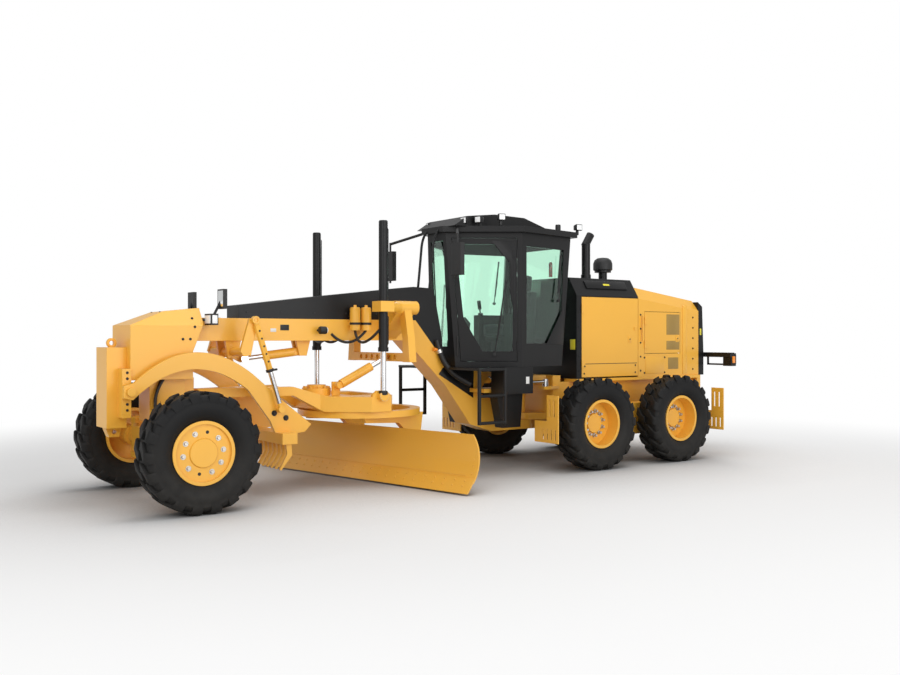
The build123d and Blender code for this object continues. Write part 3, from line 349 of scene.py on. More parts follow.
def slab(width, tall, thick, edge=0.003):
    """Template plate that stands on z 0, as wide along x and as tall along y as given."""
    return block("slab", (-width / 2, -tall / 2, -0.002), (width / 2, tall / 2, thick), edge)


def stamp(template, places, name, body, finish):
    """Copies of a template at several places, dressed as one piece of a body; the template goes."""
    piece = copies(template, places, name)
    discard(template)
    return dress(piece, body, finish)


def side_plates(rows, body, side, sign):
    """Plates on side faces, from rows of name, finish, node, place along, height and size."""
    for name, finish, node, along, height, size in rows:
        stamp(slab(*size), [on_side(node, sign, along, height)], f"{name}_{side}", body, finish)


def sheet_plate(name, outline, outward, thick, edge=0.003):
    """Flat plate with the given corners, as thick as given along its outward normal."""
    deselect()
    bpy.ops.mesh.primitive_circle_add(vertices=len(outline), radius=1, fill_type="NGON")
    piece = bpy.context.active_object
    for vertex, corner in zip(piece.data.vertices, outline):
        vertex.co = corner
    thicken(Vector(outward) * thick)
    apply_place(piece, name)
    return round_edges(piece, edge)


def bent(points, radius, name, body, finish):
    """Round tube along points, dressed."""
    return dress(pipe(name, points, radius), body, finish)


# Finishes


def new_group(name, inputs, outputs):
    """Shader node group with named float inputs and typed outputs."""
    group = bpy.data.node_groups.new(name, "ShaderNodeTree")
    for label, default in inputs:
        socket = group.interface.new_socket(label, in_out="INPUT", socket_type="NodeSocketFloat")
        socket.default_value = default
    for label, kind in outputs:
        group.interface.new_socket(label, in_out="OUTPUT", socket_type=kind)
    entry = group.nodes.new("NodeGroupInput")
    leave = group.nodes.new("NodeGroupOutput")
    return group, entry, leave


def math_node(group, operation, first, second, clamp=False):
    """Math node fed by sockets or plain numbers."""
    node = group.nodes.new("ShaderNodeMath")
    node.operation = operation
    node.use_clamp = clamp
    for socket, value in zip(node.inputs, (first, second)):
        if isinstance(value, (int, float)):
            socket.default_value = value
        else:
            group.links.new(value, socket)
    return node.outputs[0]


def noise_node(group, vector, scale, detail=4.0, rough=0.55):
    """Noise texture on a vector."""
    node = group.nodes.new("ShaderNodeTexNoise")
    node.inputs["Detail"].default_value = detail
    node.inputs["Roughness"].default_value = rough
    group.links.new(vector, node.inputs["Vector"])
    if isinstance(scale, (int, float)):
        node.inputs["Scale"].default_value = scale
    else:
        group.links.new(scale, node.inputs["Scale"])
    return node.outputs["Fac"]


def surface_grain_group():
    """Slow mottling and fine grain of a finish."""
    group, entry, leave = new_group(
        "surface_grain",
        [("Mottle Scale", 3.0), ("Grain Scale", 900.0)],
        [("Mottle", "NodeSocketFloat"), ("Grain", "NodeSocketFloat")],
    )
    place = group.nodes.new("ShaderNodeTexCoord").outputs["Object"]
    group.links.new(noise_node(group, place, entry.outputs["Mottle Scale"], 5.0), leave.inputs["Mottle"])
    group.links.new(noise_node(group, place, entry.outputs["Grain Scale"], 2.0), leave.inputs["Grain"])
    return group


def soft_edge_group():
    """Rounded normal and a patchy mask of the edges, for a painted edge highlight."""
    group, entry, leave = new_group(
        "soft_edge",
        [("Wear Scale", 30.0)],
        [("Edge", "NodeSocketFloat"), ("Normal", "NodeSocketVector")],
    )
    bevel = group.nodes.new("ShaderNodeBevel")
    bevel.samples = 4
    bevel.inputs["Radius"].default_value = 0.006
    geometry = group.nodes.new("ShaderNodeNewGeometry")
    dot = group.nodes.new("ShaderNodeVectorMath")
    dot.operation = "DOT_PRODUCT"
    group.links.new(bevel.outputs["Normal"], dot.inputs[0])
    group.links.new(geometry.outputs["Normal"], dot.inputs[1])
    place = group.nodes.new("ShaderNodeTexCoord").outputs["Object"]
    patch = noise_node(group, place, entry.outputs["Wear Scale"], 6.0, 0.7)
    turned = math_node(group, "SUBTRACT", 1.0, dot.outputs["Value"], True)
    lifted = math_node(group, "MULTIPLY", turned, 6.0, True)
    group.links.new(math_node(group, "MULTIPLY", lifted, patch), leave.inputs["Edge"])
    group.links.new(bevel.outputs["Normal"], leave.inputs["Normal"])
    return group


def low_dust_group():
    """Patches of dust that thin out above the ground."""
    group, entry, leave = new_group(
        "low_dust",
        [("Reach", 0.9), ("Amount", 0.2)],
        [("Mask", "NodeSocketFloat")],
    )
    place = group.nodes.new("ShaderNodeTexCoord").outputs["Object"]
    split = group.nodes.new("ShaderNodeSeparateXYZ")
    group.links.new(place, split.inputs[0])
    share = math_node(group, "DIVIDE", split.outputs["Z"], entry.outputs["Reach"])
    low = math_node(group, "SUBTRACT", 1.0, share, True)
    patch = noise_node(group, place, 9.0, 6.0, 0.6)
    spread = math_node(group, "MULTIPLY", low, patch)
    group.links.new(math_node(group, "MULTIPLY", spread, entry.outputs["Amount"], True), leave.inputs["Mask"])
    return group


def mix_colour(material, factor, first, second):
    """Mix of two colours by a mask."""
    tree = material.node_tree
    node = tree.nodes.new("ShaderNodeMix")
    node.data_type = "RGBA"
    for socket, value in ((node.inputs[0], factor), (node.inputs[6], first), (node.inputs[7], second)):
        if isinstance(value, bpy.types.NodeSocket):
            tree.links.new(value, socket)
        elif isinstance(value, (int, float)):
            socket.default_value = value
        else:
            socket.default_value = (*value[:3], 1)
    return node.outputs[2]


def map_range(material, value, low, high):
    """Value spread from low to high."""
    node = material.node_tree.nodes.new("ShaderNodeMapRange")
    node.inputs["To Min"].default_value = low
    node.inputs["To Max"].default_value = high
    material.node_tree.links.new(value, node.inputs["Value"])
    return node.outputs["Result"]


def settle(node, **values):
    """Constant values of a node's own inputs, with an underscore for each space of a name."""
    for label, value in values.items():
        node.inputs[label.replace("_", " ")].default_value = value
    return node


def feed(node, label, output):
    """Link an output to one of a node's inputs."""
    node.id_data.links.new(output, node.inputs[label])


def place_group(material, name, **values):
    """One use of a shader group in a material, with its own values."""
    node = material.node_tree.nodes.new("ShaderNodeGroup")
    node.node_tree = bpy.data.node_groups[name]
    return settle(node, **values)


def bump(material, height, strength, distance, normal=None):
    """Bump from a height, over another normal where one is given."""
    node = material.node_tree.nodes.new("ShaderNodeBump")
    node.inputs["Strength"].default_value = strength
    node.inputs["Distance"].default_value = distance
    material.node_tree.links.new(height, node.inputs["Height"])
    if normal is not None:
        material.node_tree.links.new(normal, node.inputs["Normal"])
    return node.outputs["Normal"]


def blank(name):
    """New material and its shader."""
    material = bpy.data.materials.new(name)
    material.use_nodes = True
    return material, material.node_tree.nodes["Principled BSDF"]


def painted(name, colour, edge_highlight_colour, roughness, coat, mottle, edge_highlight_share=0.25, dust=0.10, shine=0.5):
    """Paint with slight mottling, a painted highlight on its edges, low dust and a fine orange peel."""
    material, shader = blank(name)
    grain = place_group(material, "surface_grain", Mottle_Scale=2.2, Grain_Scale=420.0)
    spread = grain.outputs["Mottle"]
    edge = place_group(material, "soft_edge", Wear_Scale=26.0)
    dirt = place_group(material, "low_dust", Reach=0.8, Amount=dust)
    darker = [value * (1 - mottle) for value in colour]
    base = mix_colour(material, spread, darker, colour)
    # painted highlight: a lighter tint of the paint in patches along the sharp edges
    edge_highlight = map_range(material, edge.outputs["Edge"], 0.0, edge_highlight_share)
    base = mix_colour(material, edge_highlight, base, edge_highlight_colour)
    base = mix_colour(material, dirt.outputs["Mask"], base, linear(150, 140, 124))
    feed(shader, "Base Color", base)
    feed(shader, "Roughness", map_range(material, spread, roughness - 0.05, roughness + 0.07))
    feed(shader, "Normal", bump(material, grain.outputs["Grain"], 0.06, 0.001, edge.outputs["Normal"]))
    settle(shader, Specular_IOR_Level=shine, Coat_Weight=coat, Coat_Roughness=0.12)
    return material


def metal(name, colour, roughness, wear_scale=60.0):
    """Bare metal with fine scratches."""
    material, shader = blank(name)
    grain = place_group(material, "surface_grain", Mottle_Scale=wear_scale, Grain_Scale=700.0)
    spread = grain.outputs["Mottle"]
    feed(shader, "Base Color", mix_colour(material, spread, [v * 0.82 for v in colour], colour))
    feed(shader, "Roughness", map_range(material, spread, max(0.03, roughness - 0.06), roughness + 0.08))
    feed(shader, "Normal", bump(material, grain.outputs["Grain"], 0.05, 0.0006))
    settle(shader, Metallic=1.0)
    return material


def moulded(name, colour, roughness, grain_scale=600.0, depth=0.12, shine=0.5):
    """Moulded plastic or rubber with a fine grain."""
    material, shader = blank(name)
    grain = place_group(material, "surface_grain", Mottle_Scale=7.0, Grain_Scale=grain_scale)
    spread = grain.outputs["Mottle"]
    dirt = place_group(material, "low_dust", Reach=1.0, Amount=0.16)
    base = mix_colour(material, spread, [v * 0.75 for v in colour], [v * 1.15 for v in colour])
    base = mix_colour(material, dirt.outputs["Mask"], base, linear(120, 114, 104))
    feed(shader, "Base Color", base)
    feed(shader, "Roughness", map_range(material, spread, roughness - 0.08, roughness + 0.08))
    feed(shader, "Normal", bump(material, grain.outputs["Grain"], depth, 0.001))
    settle(shader, Specular_IOR_Level=shine)
    return material


def clear_glass(name, tint, roughness=0.02):
    """Tinted glass that shows what is behind it."""
    material, shader = blank(name)
    grain = place_group(material, "surface_grain", Mottle_Scale=1.4, Grain_Scale=300.0)
    spread = grain.outputs["Mottle"]
    feed(shader, "Base Color", mix_colour(material, spread, [v * 0.985 for v in tint], tint))
    settle(shader, Roughness=roughness, Transmission_Weight=1.0, IOR=1.45)
    return material


def lens_finish(name, colour, glow):
    """Moulded lamp lens with fine ribs and a faint glow, a painted glow where it dresses parts that are no
    lamps.
    """
    material, shader = blank(name)
    grain = place_group(material, "surface_grain", Mottle_Scale=40.0, Grain_Scale=160.0)
    spread = grain.outputs["Mottle"]
    feed(shader, "Base Color", mix_colour(material, spread, [v * 0.8 for v in colour], colour))
    feed(shader, "Roughness", map_range(material, spread, 0.06, 0.16))
    feed(shader, "Normal", bump(material, grain.outputs["Grain"], 0.3, 0.002))
    # painted glow: this emission also lights the extinguisher and the duct cap, which are no lamps
    settle(shader, Emission_Color=(*colour, 1), Emission_Strength=glow, Coat_Weight=0.6)
    return material


def woven(name, colour):
    """Seat cloth with a woven bump and a soft sheen."""
    material, shader = blank(name)
    tree = material.node_tree
    place = tree.nodes.new("ShaderNodeTexCoord").outputs["Object"]
    heights = []
    for axis in ("X", "Z"):
        wave = settle(tree.nodes.new("ShaderNodeTexWave"), Scale=160.0, Distortion=0.6)
        wave.bands_direction = axis
        feed(wave, "Vector", place)
        heights.append(wave.outputs["Fac"])
    cross = math_node(tree, "MULTIPLY", *heights)
    base = mix_colour(material, cross, [v * 0.6 for v in colour], [v * 1.3 for v in colour])
    feed(shader, "Base Color", base)
    feed(shader, "Normal", bump(material, cross, 0.4, 0.002))
    settle(shader, Roughness=0.85, Sheen_Weight=0.3)
    return material


def mesh_screen(name, colour):
    """Woven wire screen, with painted shade in its holes."""
    material, shader = blank(name)
    tree = material.node_tree
    place = tree.nodes.new("ShaderNodeTexCoord").outputs["Object"]
    cells = settle(tree.nodes.new("ShaderNodeTexVoronoi"), Scale=110.0, Randomness=0.0)
    feed(cells, "Vector", place)
    # painted shade: the holes are darkened as if the shaded inside behind the screen showed through
    shaded_hole = map_range(material, cells.outputs["Distance"], 0.0, 1.0)
    feed(shader, "Base Color", mix_colour(material, shaded_hole, [v * 0.35 for v in colour], colour))
    feed(shader, "Normal", bump(material, shaded_hole, 0.5, 0.003))
    settle(shader, Roughness=0.5)
    return material


class GRADER_OT_finishes(bpy.types.Operator):
    """Make the finishes and give each solid its own."""

    bl_idname = "grader.finishes"
    bl_label = "Finishes"

    def execute(self, context):
        surface_grain_group()
        soft_edge_group()
        low_dust_group()
        paint, dark = list(colours().paint), list(colours().dark)
        FINISHES.update(
            # the second colour of each paint is its painted edge highlight
            yellow=painted("machine_yellow", paint, linear(236, 190, 110), 0.40, 0.18, 0.06),
            black=painted("satin_black", dark, linear(82, 82, 84), 0.42, 0.05, 0.18, 0.35, 0.06, 0.28),
            rubber=moulded("tyre_rubber", list(colours().rubber), 0.62, 350.0, 0.2, 0.25),
            plastic=moulded("black_plastic", linear(20, 20, 21), 0.55),
            hose=moulded("hose_rubber", linear(30, 30, 31), 0.55, 220.0, 0.25),
            chrome=metal("polished_rod", [0.78, 0.78, 0.79], 0.10),
            zinc=metal("zinc_bolt", [0.62, 0.61, 0.58], 0.32),
            iron=metal("cast_iron", [0.10, 0.10, 0.10], 0.6),
            glass=clear_glass("cab_glass", list(colours().glass)),
            white_lens=lens_finish("white_lens", [0.85, 0.86, 0.86], 0.15),
            amber_lens=lens_finish("amber_lens", linear(240, 140, 20), 0.1),
            red_lens=lens_finish("red_lens", linear(170, 16, 14), 0.05),
            mirror=metal("mirror_face", [0.86, 0.88, 0.88], 0.06),
            white_plate=moulded("white_plate", linear(225, 225, 222), 0.4),
            yellow_plate=moulded("yellow_plate", linear(236, 222, 60), 0.35),
            mesh=mesh_screen("mesh_screen", linear(196, 158, 78)),
            cloth=woven("seat_cloth", linear(46, 46, 50)),
        )
        by_slot = {
            "yellow_paint": "yellow",
            "rim_paint": "yellow",
            "black_paint": "black",
            "chrome_rod": "chrome",
            "tinted_glass": "glass",
            "tyre_rubber": "rubber",
            "seat_fabric": "cloth",
            "dark_plastic": "plastic",
            "engine_iron": "iron",
            "stack_steel": "black",
            "hose_rubber": "hose",
        }
        for entry in frame["record"]["subparts"]:
            node = frame["nodes"][entry["node"]]
            node.data.materials.clear()
            node.data.materials.append(FINISHES[by_slot[entry["material_slot"]]])
        return {"FINISHED"}


# Wheels

TREAD_ROOT = 0.02  # how far a tread bar reaches into the casing
SHOULDER_DROP = 0.05  # how far a tread bar falls at the shoulder's edge


def tread_bar(radius, half, depth, bars):
    """One tread bar, from the middle of the tread over the shoulder, laid on the tyre's top."""
    deselect()
    bpy.ops.mesh.primitive_grid_add(x_subdivisions=3, y_subdivisions=9, size=1)
    bar = bpy.context.active_object
    pitch = math.tau * radius / bars
    for vertex in bar.data.vertices:
        across = vertex.co.y + 0.5
        along = vertex.co.x
        width = pitch * (0.40 + 0.16 * across)
        sweep = pitch * (0.55 * across - 0.16 * math.sin(across * math.pi * 2.0) * 0.5)
        vertex.co = (sweep + along * width, 0.006 + across * (half - 0.006), 0.0)
    thicken((0, 0, depth + TREAD_ROOT))
    round_edges(bar, 0.005, 1, 40)
    shoulder = half * 0.80
    for vertex in bar.data.vertices:
        along, across, height = vertex.co
        past = max(0.0, across - shoulder) / (half - shoulder)
        reach = radius - depth - TREAD_ROOT + height - past * past * SHOULDER_DROP
        turn = along / radius
        vertex.co = (math.sin(turn) * reach, across, math.cos(turn) * reach)
    return bar


class GRADER_OT_tyres(bpy.types.Operator):
    """Turned tyre casings with two rows of tread bars."""

    bl_idname = "grader.tyres"
    bl_label = "Tyres"

    def execute(self, context):
        low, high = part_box("front_tyre_left")
        outer = (high.z - low.z) / 2
        half = (high.y - low.y) / 2
        depth = sizes().tread_depth
        bars = sizes().tread_bars
        base = outer - depth - 0.002
        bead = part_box("front_rim_left")
        inner = (bead[1].z - bead[0].z) / 2 - 0.012
        side = [
            (inner, half * 0.62),
            (inner + 0.020, half * 0.69),
            (inner + 0.038, half * 0.76),
            (inner + 0.042, half * 0.80),
            (inner + 0.054, half * 0.83),
            (inner + 0.060, half * 0.86),
            (inner + 0.095, half * 0.965),
            (inner + 0.135, half * 0.998),
            (inner + 0.175, half * 0.99),
            (inner + 0.205, half * 0.955),
            (inner + 0.210, half * 0.965),
            (inner + 0.224, half * 0.94),
            (base - 0.010, half * 0.86),
            (base, half * 0.76),
            (base + 0.001, half * 0.40),
        ]
        profile = [(radius, -across) for radius, across in side] + [(r, a) for r, a in reversed(side)]
        casing = lathe("tyre_casing", profile, sizes().spin_steps, axis=(0, 1, 0))
        bar = tread_bar(outer, half * 0.985, depth, bars)
        step = math.tau / bars
        left = [Matrix.Rotation(k * step, 4, "Y") for k in range(bars)]
        flip = Matrix.Rotation(math.pi, 4, "Z")
        right = [Matrix.Rotation(k * step + step / 2, 4, "Y") @ flip for k in range(bars)]
        pattern = copies(bar, left + right, "tyre_bars")
        discard(bar)
        master = join([casing, pattern], "tyre_master")
        for place, hand in WHEELS:
            node = f"{place}_tyre_{hand}"
            turn = Matrix.Rotation(0.0 if hand == "left" else math.pi, 4, "Z")
            roll = Matrix.Rotation(0.35 * len(place), 4, "Y")
            twin = twin_of(master, Matrix.Translation(middle(node)) @ turn @ roll)
            twin.name = f"{place}_tyre_{hand}_tread"
            dress(twin, f"{place}_wheel_{hand}", "rubber", 40)
            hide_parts(node)
        discard(master)
        return {"FINISHED"}


class GRADER_OT_wheel_bolts(bpy.types.Operator):
    """Rings of bolts on the wheel discs."""

    bl_idname = "grader.wheel_bolts"
    bl_label = "Wheel bolts"

    def execute(self, context):
        radius = sizes().bolt_radius
        short, tall = hex_bolt(radius, 0.022), hex_bolt(radius, 0.055)
        for place, hand in WHEELS:
            sign = 1 if hand == "left" else -1
            axle = middle(f"{place}_tyre_{hand}")
            front = place == "front"
            count, ring, face = (10, 0.205, 0.105) if front else (11, 0.160, -0.045)
            spots, holes = [], []
            for k in range(count):
                turn = math.tau * k / count - 0.2
                spot = axle + Vector((math.sin(turn) * ring, sign * face, math.cos(turn) * ring))
                row = holes if front and k in (0, 5) else spots
                row.append(facing(spot, (0, sign, 0), turn))
            ring_piece = copies(short if front else tall, spots, f"{place}_bolts_{hand}")
            dress(ring_piece, f"{place}_wheel_{hand}", "zinc")
            if holes:
                # painted shade: a flat black disc stands for an empty bolt hole, dark inside
                plug = lathe("hole_plug", [(0.0, 0.0), (0.017, 0.0), (0.015, 0.002), (0.0, 0.001)], 20)
                stamp(plug, holes, f"{place}_holes_{hand}", f"{place}_wheel_{hand}", "plastic")
        discard(short)
        discard(tall)
        return {"FINISHED"}


# Cab

# Walls in plan, from corner to corner, as (along, across)
DOOR_WALL = ((-3.58, 0.20), (-4.36, 0.78))
QUARTER_WALL = ((-4.36, 0.78), (-5.36, 0.60))
ROOF_RIM = ((-3.538, 0.256), (-4.318, 0.836))


def wall_spot(start, end, sign, share, height, out=0.0):
    """Point on a cab wall between two corners of its plan, given as (along, across)."""
    first, last = at(start[0], start[1] * sign, height), at(end[0], end[1] * sign, height)
    outward = Vector((last.y - first.y, first.x - last.x, 0)).normalized() * sign
    return first.lerp(last, share) + outward * out


class GRADER_OT_cab_fittings(bpy.types.Operator):
    """Roof lamps, wipers, handles, glass bands, ducts, mirror faces and rails of the cab."""

    bl_idname = "grader.cab_fittings"
    bl_label = "Cab fittings"
    door_band = ((0.60, 2.94), (0.84, 2.66), (0.84, 2.30), (0.905, 1.95), (0.905, 2.94))
    quarter_band = ((0.48, 1.62), (0.84, 1.62), (0.84, 2.10))
    duct_line = (
        (-3.46, 0.170, 1.68),
        (-3.49, 0.190, 1.54),
        (-3.55, 0.225, 1.38),
        (-3.68, 0.275, 1.22),
        (-3.88, 0.330, 1.12),
    )
    # pivot, elbow and blade of a wiper, as shares of the wall's length and heights
    door_wiper = ((0.64, 1.50), (0.74, 2.08), (0.68, 1.72, 0.79, 2.44))
    quarter_wiper = ((0.70, 2.20), (0.75, 2.50), (0.71, 2.30, 0.77, 2.80))
    # share of the rim's length, height and direction of a lamp
    lamps = ((0.236, 3.193, (1, 0.3)), (0.423, 3.203, (1, 0.3)), (0.734, 3.235, (0.3, 1)))

    def execute(self, context):
        self.roof_lamps()
        for side, sign in SIDES:
            door = f"cab_door_{side}"
            self.wiper(f"door_wiper_{side}", DOOR_WALL, sign, *self.door_wiper, door)
            self.wiper(f"quarter_wiper_{side}", QUARTER_WALL, sign, *self.quarter_wiper, "front_body")
            self.door_handle(side, sign)
            self.dark_band(f"door_band_{side}", DOOR_WALL, sign, self.door_band, door)
            self.dark_band(f"quarter_band_{side}", QUARTER_WALL, sign, self.quarter_band, "front_body")
            self.duct(side, sign)
            self.mirror_faces(side, sign)
            self.grab_rail(side, sign)
        return {"FINISHED"}

    def roof_lamps(self):
        """Work lamps round the roof's edge with white lenses, and a black cap at its rear."""
        places = []
        for _, sign in SIDES:
            for share, height, out in self.lamps:
                spot = wall_spot(*ROOF_RIM, sign, share, height, 0.01)
                places.append(facing(spot, (out[0], sign * out[1], 0)))
            places.append(facing(at(-5.46, sign * 0.66, 3.195), (0.15, sign, 0)))
        shell = block("lamp_shell", (-0.050, -0.045, -0.085), (0.050, 0.045, 0.0), 0.0)
        for vertex in shell.data.vertices:
            if vertex.co.z < -0.04:
                vertex.co.x *= 0.72
                vertex.co.y *= 0.72
        round_edges(shell, 0.010)
        foot = block("lamp_foot", (-0.016, -0.100, -0.060), (0.016, -0.036, -0.030), 0.003)
        stamp(join([shell, foot], "roof_lamp"), places, "roof_lamps", "front_body", "plastic")
        stamp(slab(0.092, 0.082, 0.008), places, "roof_lamp_bezels", "front_body", "black")
        stamp(slab(0.076, 0.066, 0.013), places, "roof_lamp_lenses", "front_body", "white_lens")
        top, _ = land("cab_roof", at(-5.17, 0.56, 4.0), (0, 0, -1))
        cap = [(0.0, -0.004), (0.036, -0.004), (0.036, 0.084), (0.030, 0.096), (0.0, 0.098)]
        dress(lathe("roof_cap", cap, 28, top), "front_body", "plastic")

    def wiper(self, name, wall, sign, pivot, elbow, blade, body):
        """Wiper arm from its pivot to its blade on a glass."""
        base = wall_spot(*wall, sign, *pivot, 0.012)
        tip = wall_spot(*wall, sign, *pivot, 0.034)
        knee = wall_spot(*wall, sign, *elbow, 0.030)
        low = wall_spot(*wall, sign, blade[0], blade[1], 0.018)
        high = wall_spot(*wall, sign, blade[2], blade[3], 0.018)
        parts = [
            rod(name + "_knob", base, wall_spot(*wall, sign, *pivot, 0.040), 0.020, 16, 0.003),
            pipe(name + "_arm", [tip, knee, low.lerp(high, 0.5)], 0.007, False),
            pipe(name + "_blade", [low, high], 0.011, False),
        ]
        dress(join(parts, name), body, "plastic")

    def door_handle(self, side, sign):
        """Upright grip on the door's solid lower corner."""
        low = wall_spot(*DOOR_WALL, sign, 0.16, 1.50, 0.006)
        high = wall_spot(*DOOR_WALL, sign, 0.16, 1.72, 0.006)
        rise = wall_spot(*DOOR_WALL, sign, 0.16, 1.50, 0.030) - low
        grip = pipe(f"door_grip_{side}", [low, low + rise, high + rise, high], 0.010, False)
        dress(grip, f"cab_door_{side}", "plastic")

    def dark_band(self, name, wall, sign, outline, body):
        """Black band that gives a glass its shape."""
        corners = [wall_spot(*wall, sign, share, height, -0.004) for share, height in outline]
        outward = wall_spot(*wall, sign, 0.5, 2.0, 1.0) - wall_spot(*wall, sign, 0.5, 2.0)
        dress(sheet_plate(name, corners, outward, 0.008), body, "black")

    def duct(self, side, sign):
        """Air duct at the cab's front foot, with its clamp and cap."""
        line = [at(along, sign * across, height) for along, across, height in self.duct_line]
        bent(line, 0.036, f"duct_{side}", "front_body", "plastic")
        ring = [(0.030, -0.022), (0.041, -0.022), (0.041, 0.022), (0.030, 0.022)]
        lean = line[2] - line[1]
        dress(lathe(f"duct_clamp_{side}", ring, 24, line[1], lean), "front_body", "zinc")
        spout = [line[1] + Vector(step) for step in ((0.03, 0, 0.02), (0.085, 0, 0.03))]
        # painted glow: the cap wears a glowing lens finish though it is no lamp
        cap = rod(f"duct_cap_{side}", *spout, 0.02, 16, 0.004)
        dress(cap, "front_body", "amber_lens")

    def mirror_faces(self, side, sign):
        """Mirror glass on the rear faces of the door and nose mirrors."""
        spots = [facing(*land("mirrors_lamps", at(-5.0, sign * 0.80, 2.665), (1, 0, 0)))]
        stamp(slab(0.10, 0.35, 0.004), spots, f"door_mirror_face_{side}", "front_body", "mirror")
        spots = [facing(*land("mirrors_lamps", at(-0.79, sign * 0.435, 2.13), (1, 0, 0)))]
        stamp(slab(0.14, 0.17, 0.004), spots, f"nose_mirror_face_{side}", "front_body", "mirror")

    def grab_rail(self, side, sign):
        """Tube from the roof's front down to the boom cover."""
        foot, _ = land("boom_cover", at(-3.38, sign * 0.13, 3.0), (0, 0, -1))
        bends = ((-3.42, 2.70), (-3.45, 3.02), (-3.54, 3.10))
        line = [foot] + [at(along, sign * 0.13, height) for along, height in bends]
        bent(line, 0.016, f"front_rail_{side}", "front_body", "black")


class GRADER_OT_cab_inside(bpy.types.Operator):
    """Seat cushions, control levers, screen and extinguisher."""

    bl_idname = "grader.cab_inside"
    bl_label = "Cab inside"
    lean = -0.14  # turn of the seat's back
    sticks = (
        ("stick", (0, 0, 0), (0.015, 0, 0.10), 0.010, 12),
        ("stick_boot", (0, 0, 0), (0, 0, 0.03), 0.035, 16, 0.008),
        ("stick_grip", (0.012, 0, 0.08), (0.03, 0, 0.20), 0.026, 14, 0.010),
    )

    def execute(self, context):
        low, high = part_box("seat")
        base = low.z + 0.24
        front, back = high.x, low.x
        parts = [
            self.cushion(
                "seat_squab",
                (front - 0.50, low.y + 0.01, base + 0.09),
                (front - 0.01, high.y - 0.01, base + 0.25),
            ),
            self.cushion(
                "seat_back",
                (back + 0.03, low.y + 0.02, base + 0.24),
                (back + 0.17, high.y - 0.02, base + 0.70),
                self.lean,
            ),
            self.cushion(
                "head_rest",
                (back + 0.01, -0.13, base + 0.70),
                (back + 0.11, 0.13, high.z + 0.06),
                self.lean,
            ),
        ]
        cushions = dress(join(parts, "seat_cushions"), "front_body", "cloth", 60)
        parts = [
            block(
                "seat_pan",
                (front - 0.53, low.y + 0.03, base + 0.02),
                (front - 0.03, high.y - 0.03, base + 0.10),
                0.012,
            ),
            block("seat_post", (front - 0.42, -0.17, low.z + 0.002), (front - 0.10, 0.17, base + 0.03), 0.02),
            block(
                "seat_shell",
                (back + 0.005, low.y + 0.05, base + 0.06),
                (back + 0.05, high.y - 0.05, base + 0.66),
                0.015,
            ),
        ]
        frame_piece = dress(join(parts, "seat_frame"), "front_body", "plastic")
        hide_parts("seat")
        self.levers()
        return {"FINISHED"}

    def cushion(self, name, low, high, lean=0.0):
        """Stuffed cushion: a box with rounded, slightly swollen faces, leaning back."""
        piece = block(name, low, high, 0.0)
        only(piece)
        bpy.ops.object.mode_set(mode="EDIT")
        bpy.ops.mesh.select_all(action="SELECT")
        bpy.ops.mesh.subdivide(number_cuts=2)
        bpy.ops.object.mode_set(mode="OBJECT")
        round_edges(piece, 0.028, 3, 60)
        soften = piece.modifiers.new("soften", "SUBSURF")
        soften.levels = 2
        bpy.ops.object.modifier_apply(modifier=soften.name)
        foot = Vector(((low[0] + high[0]) / 2, 0, low[2]))
        tilt = Matrix.Translation(foot) @ Matrix.Rotation(lean, 4, "Y") @ Matrix.Translation(-foot)
        piece.data.transform(tilt)
        return piece

    def levers(self):
        """Joysticks on the consoles, a screen and the red extinguisher."""
        parts = []
        for side, sign in SIDES:
            top, _ = land("cab_console", at(-4.55, sign * 0.33, 3.0), (0, 0, -1))
            for name, start, end, *shape in self.sticks:
                parts.append(rod(f"{name}_{side}", top + Vector(start), top + Vector(end), *shape))
        parts.append(block("screen", at(-3.98, -0.30, 2.10), at(-3.94, -0.12, 2.24), 0.008))
        parts.append(pipe("screen_stalk", [at(-3.95, -0.20, 1.90), at(-3.96, -0.21, 2.12)], 0.012, False))
        dress(join(parts, "cab_levers"), "front_body", "plastic")
        bottle = [(0.0, 0.0), (0.022, 0.0), (0.025, 0.01), (0.025, 0.17), (0.015, 0.20), (0.0, 0.205)]
        # painted glow: the extinguisher wears a glowing lens finish though it is no lamp
        dress(lathe("extinguisher", bottle, 24, at(-5.16, 0.42, 2.53)), "front_body", "red_lens")


# Hood


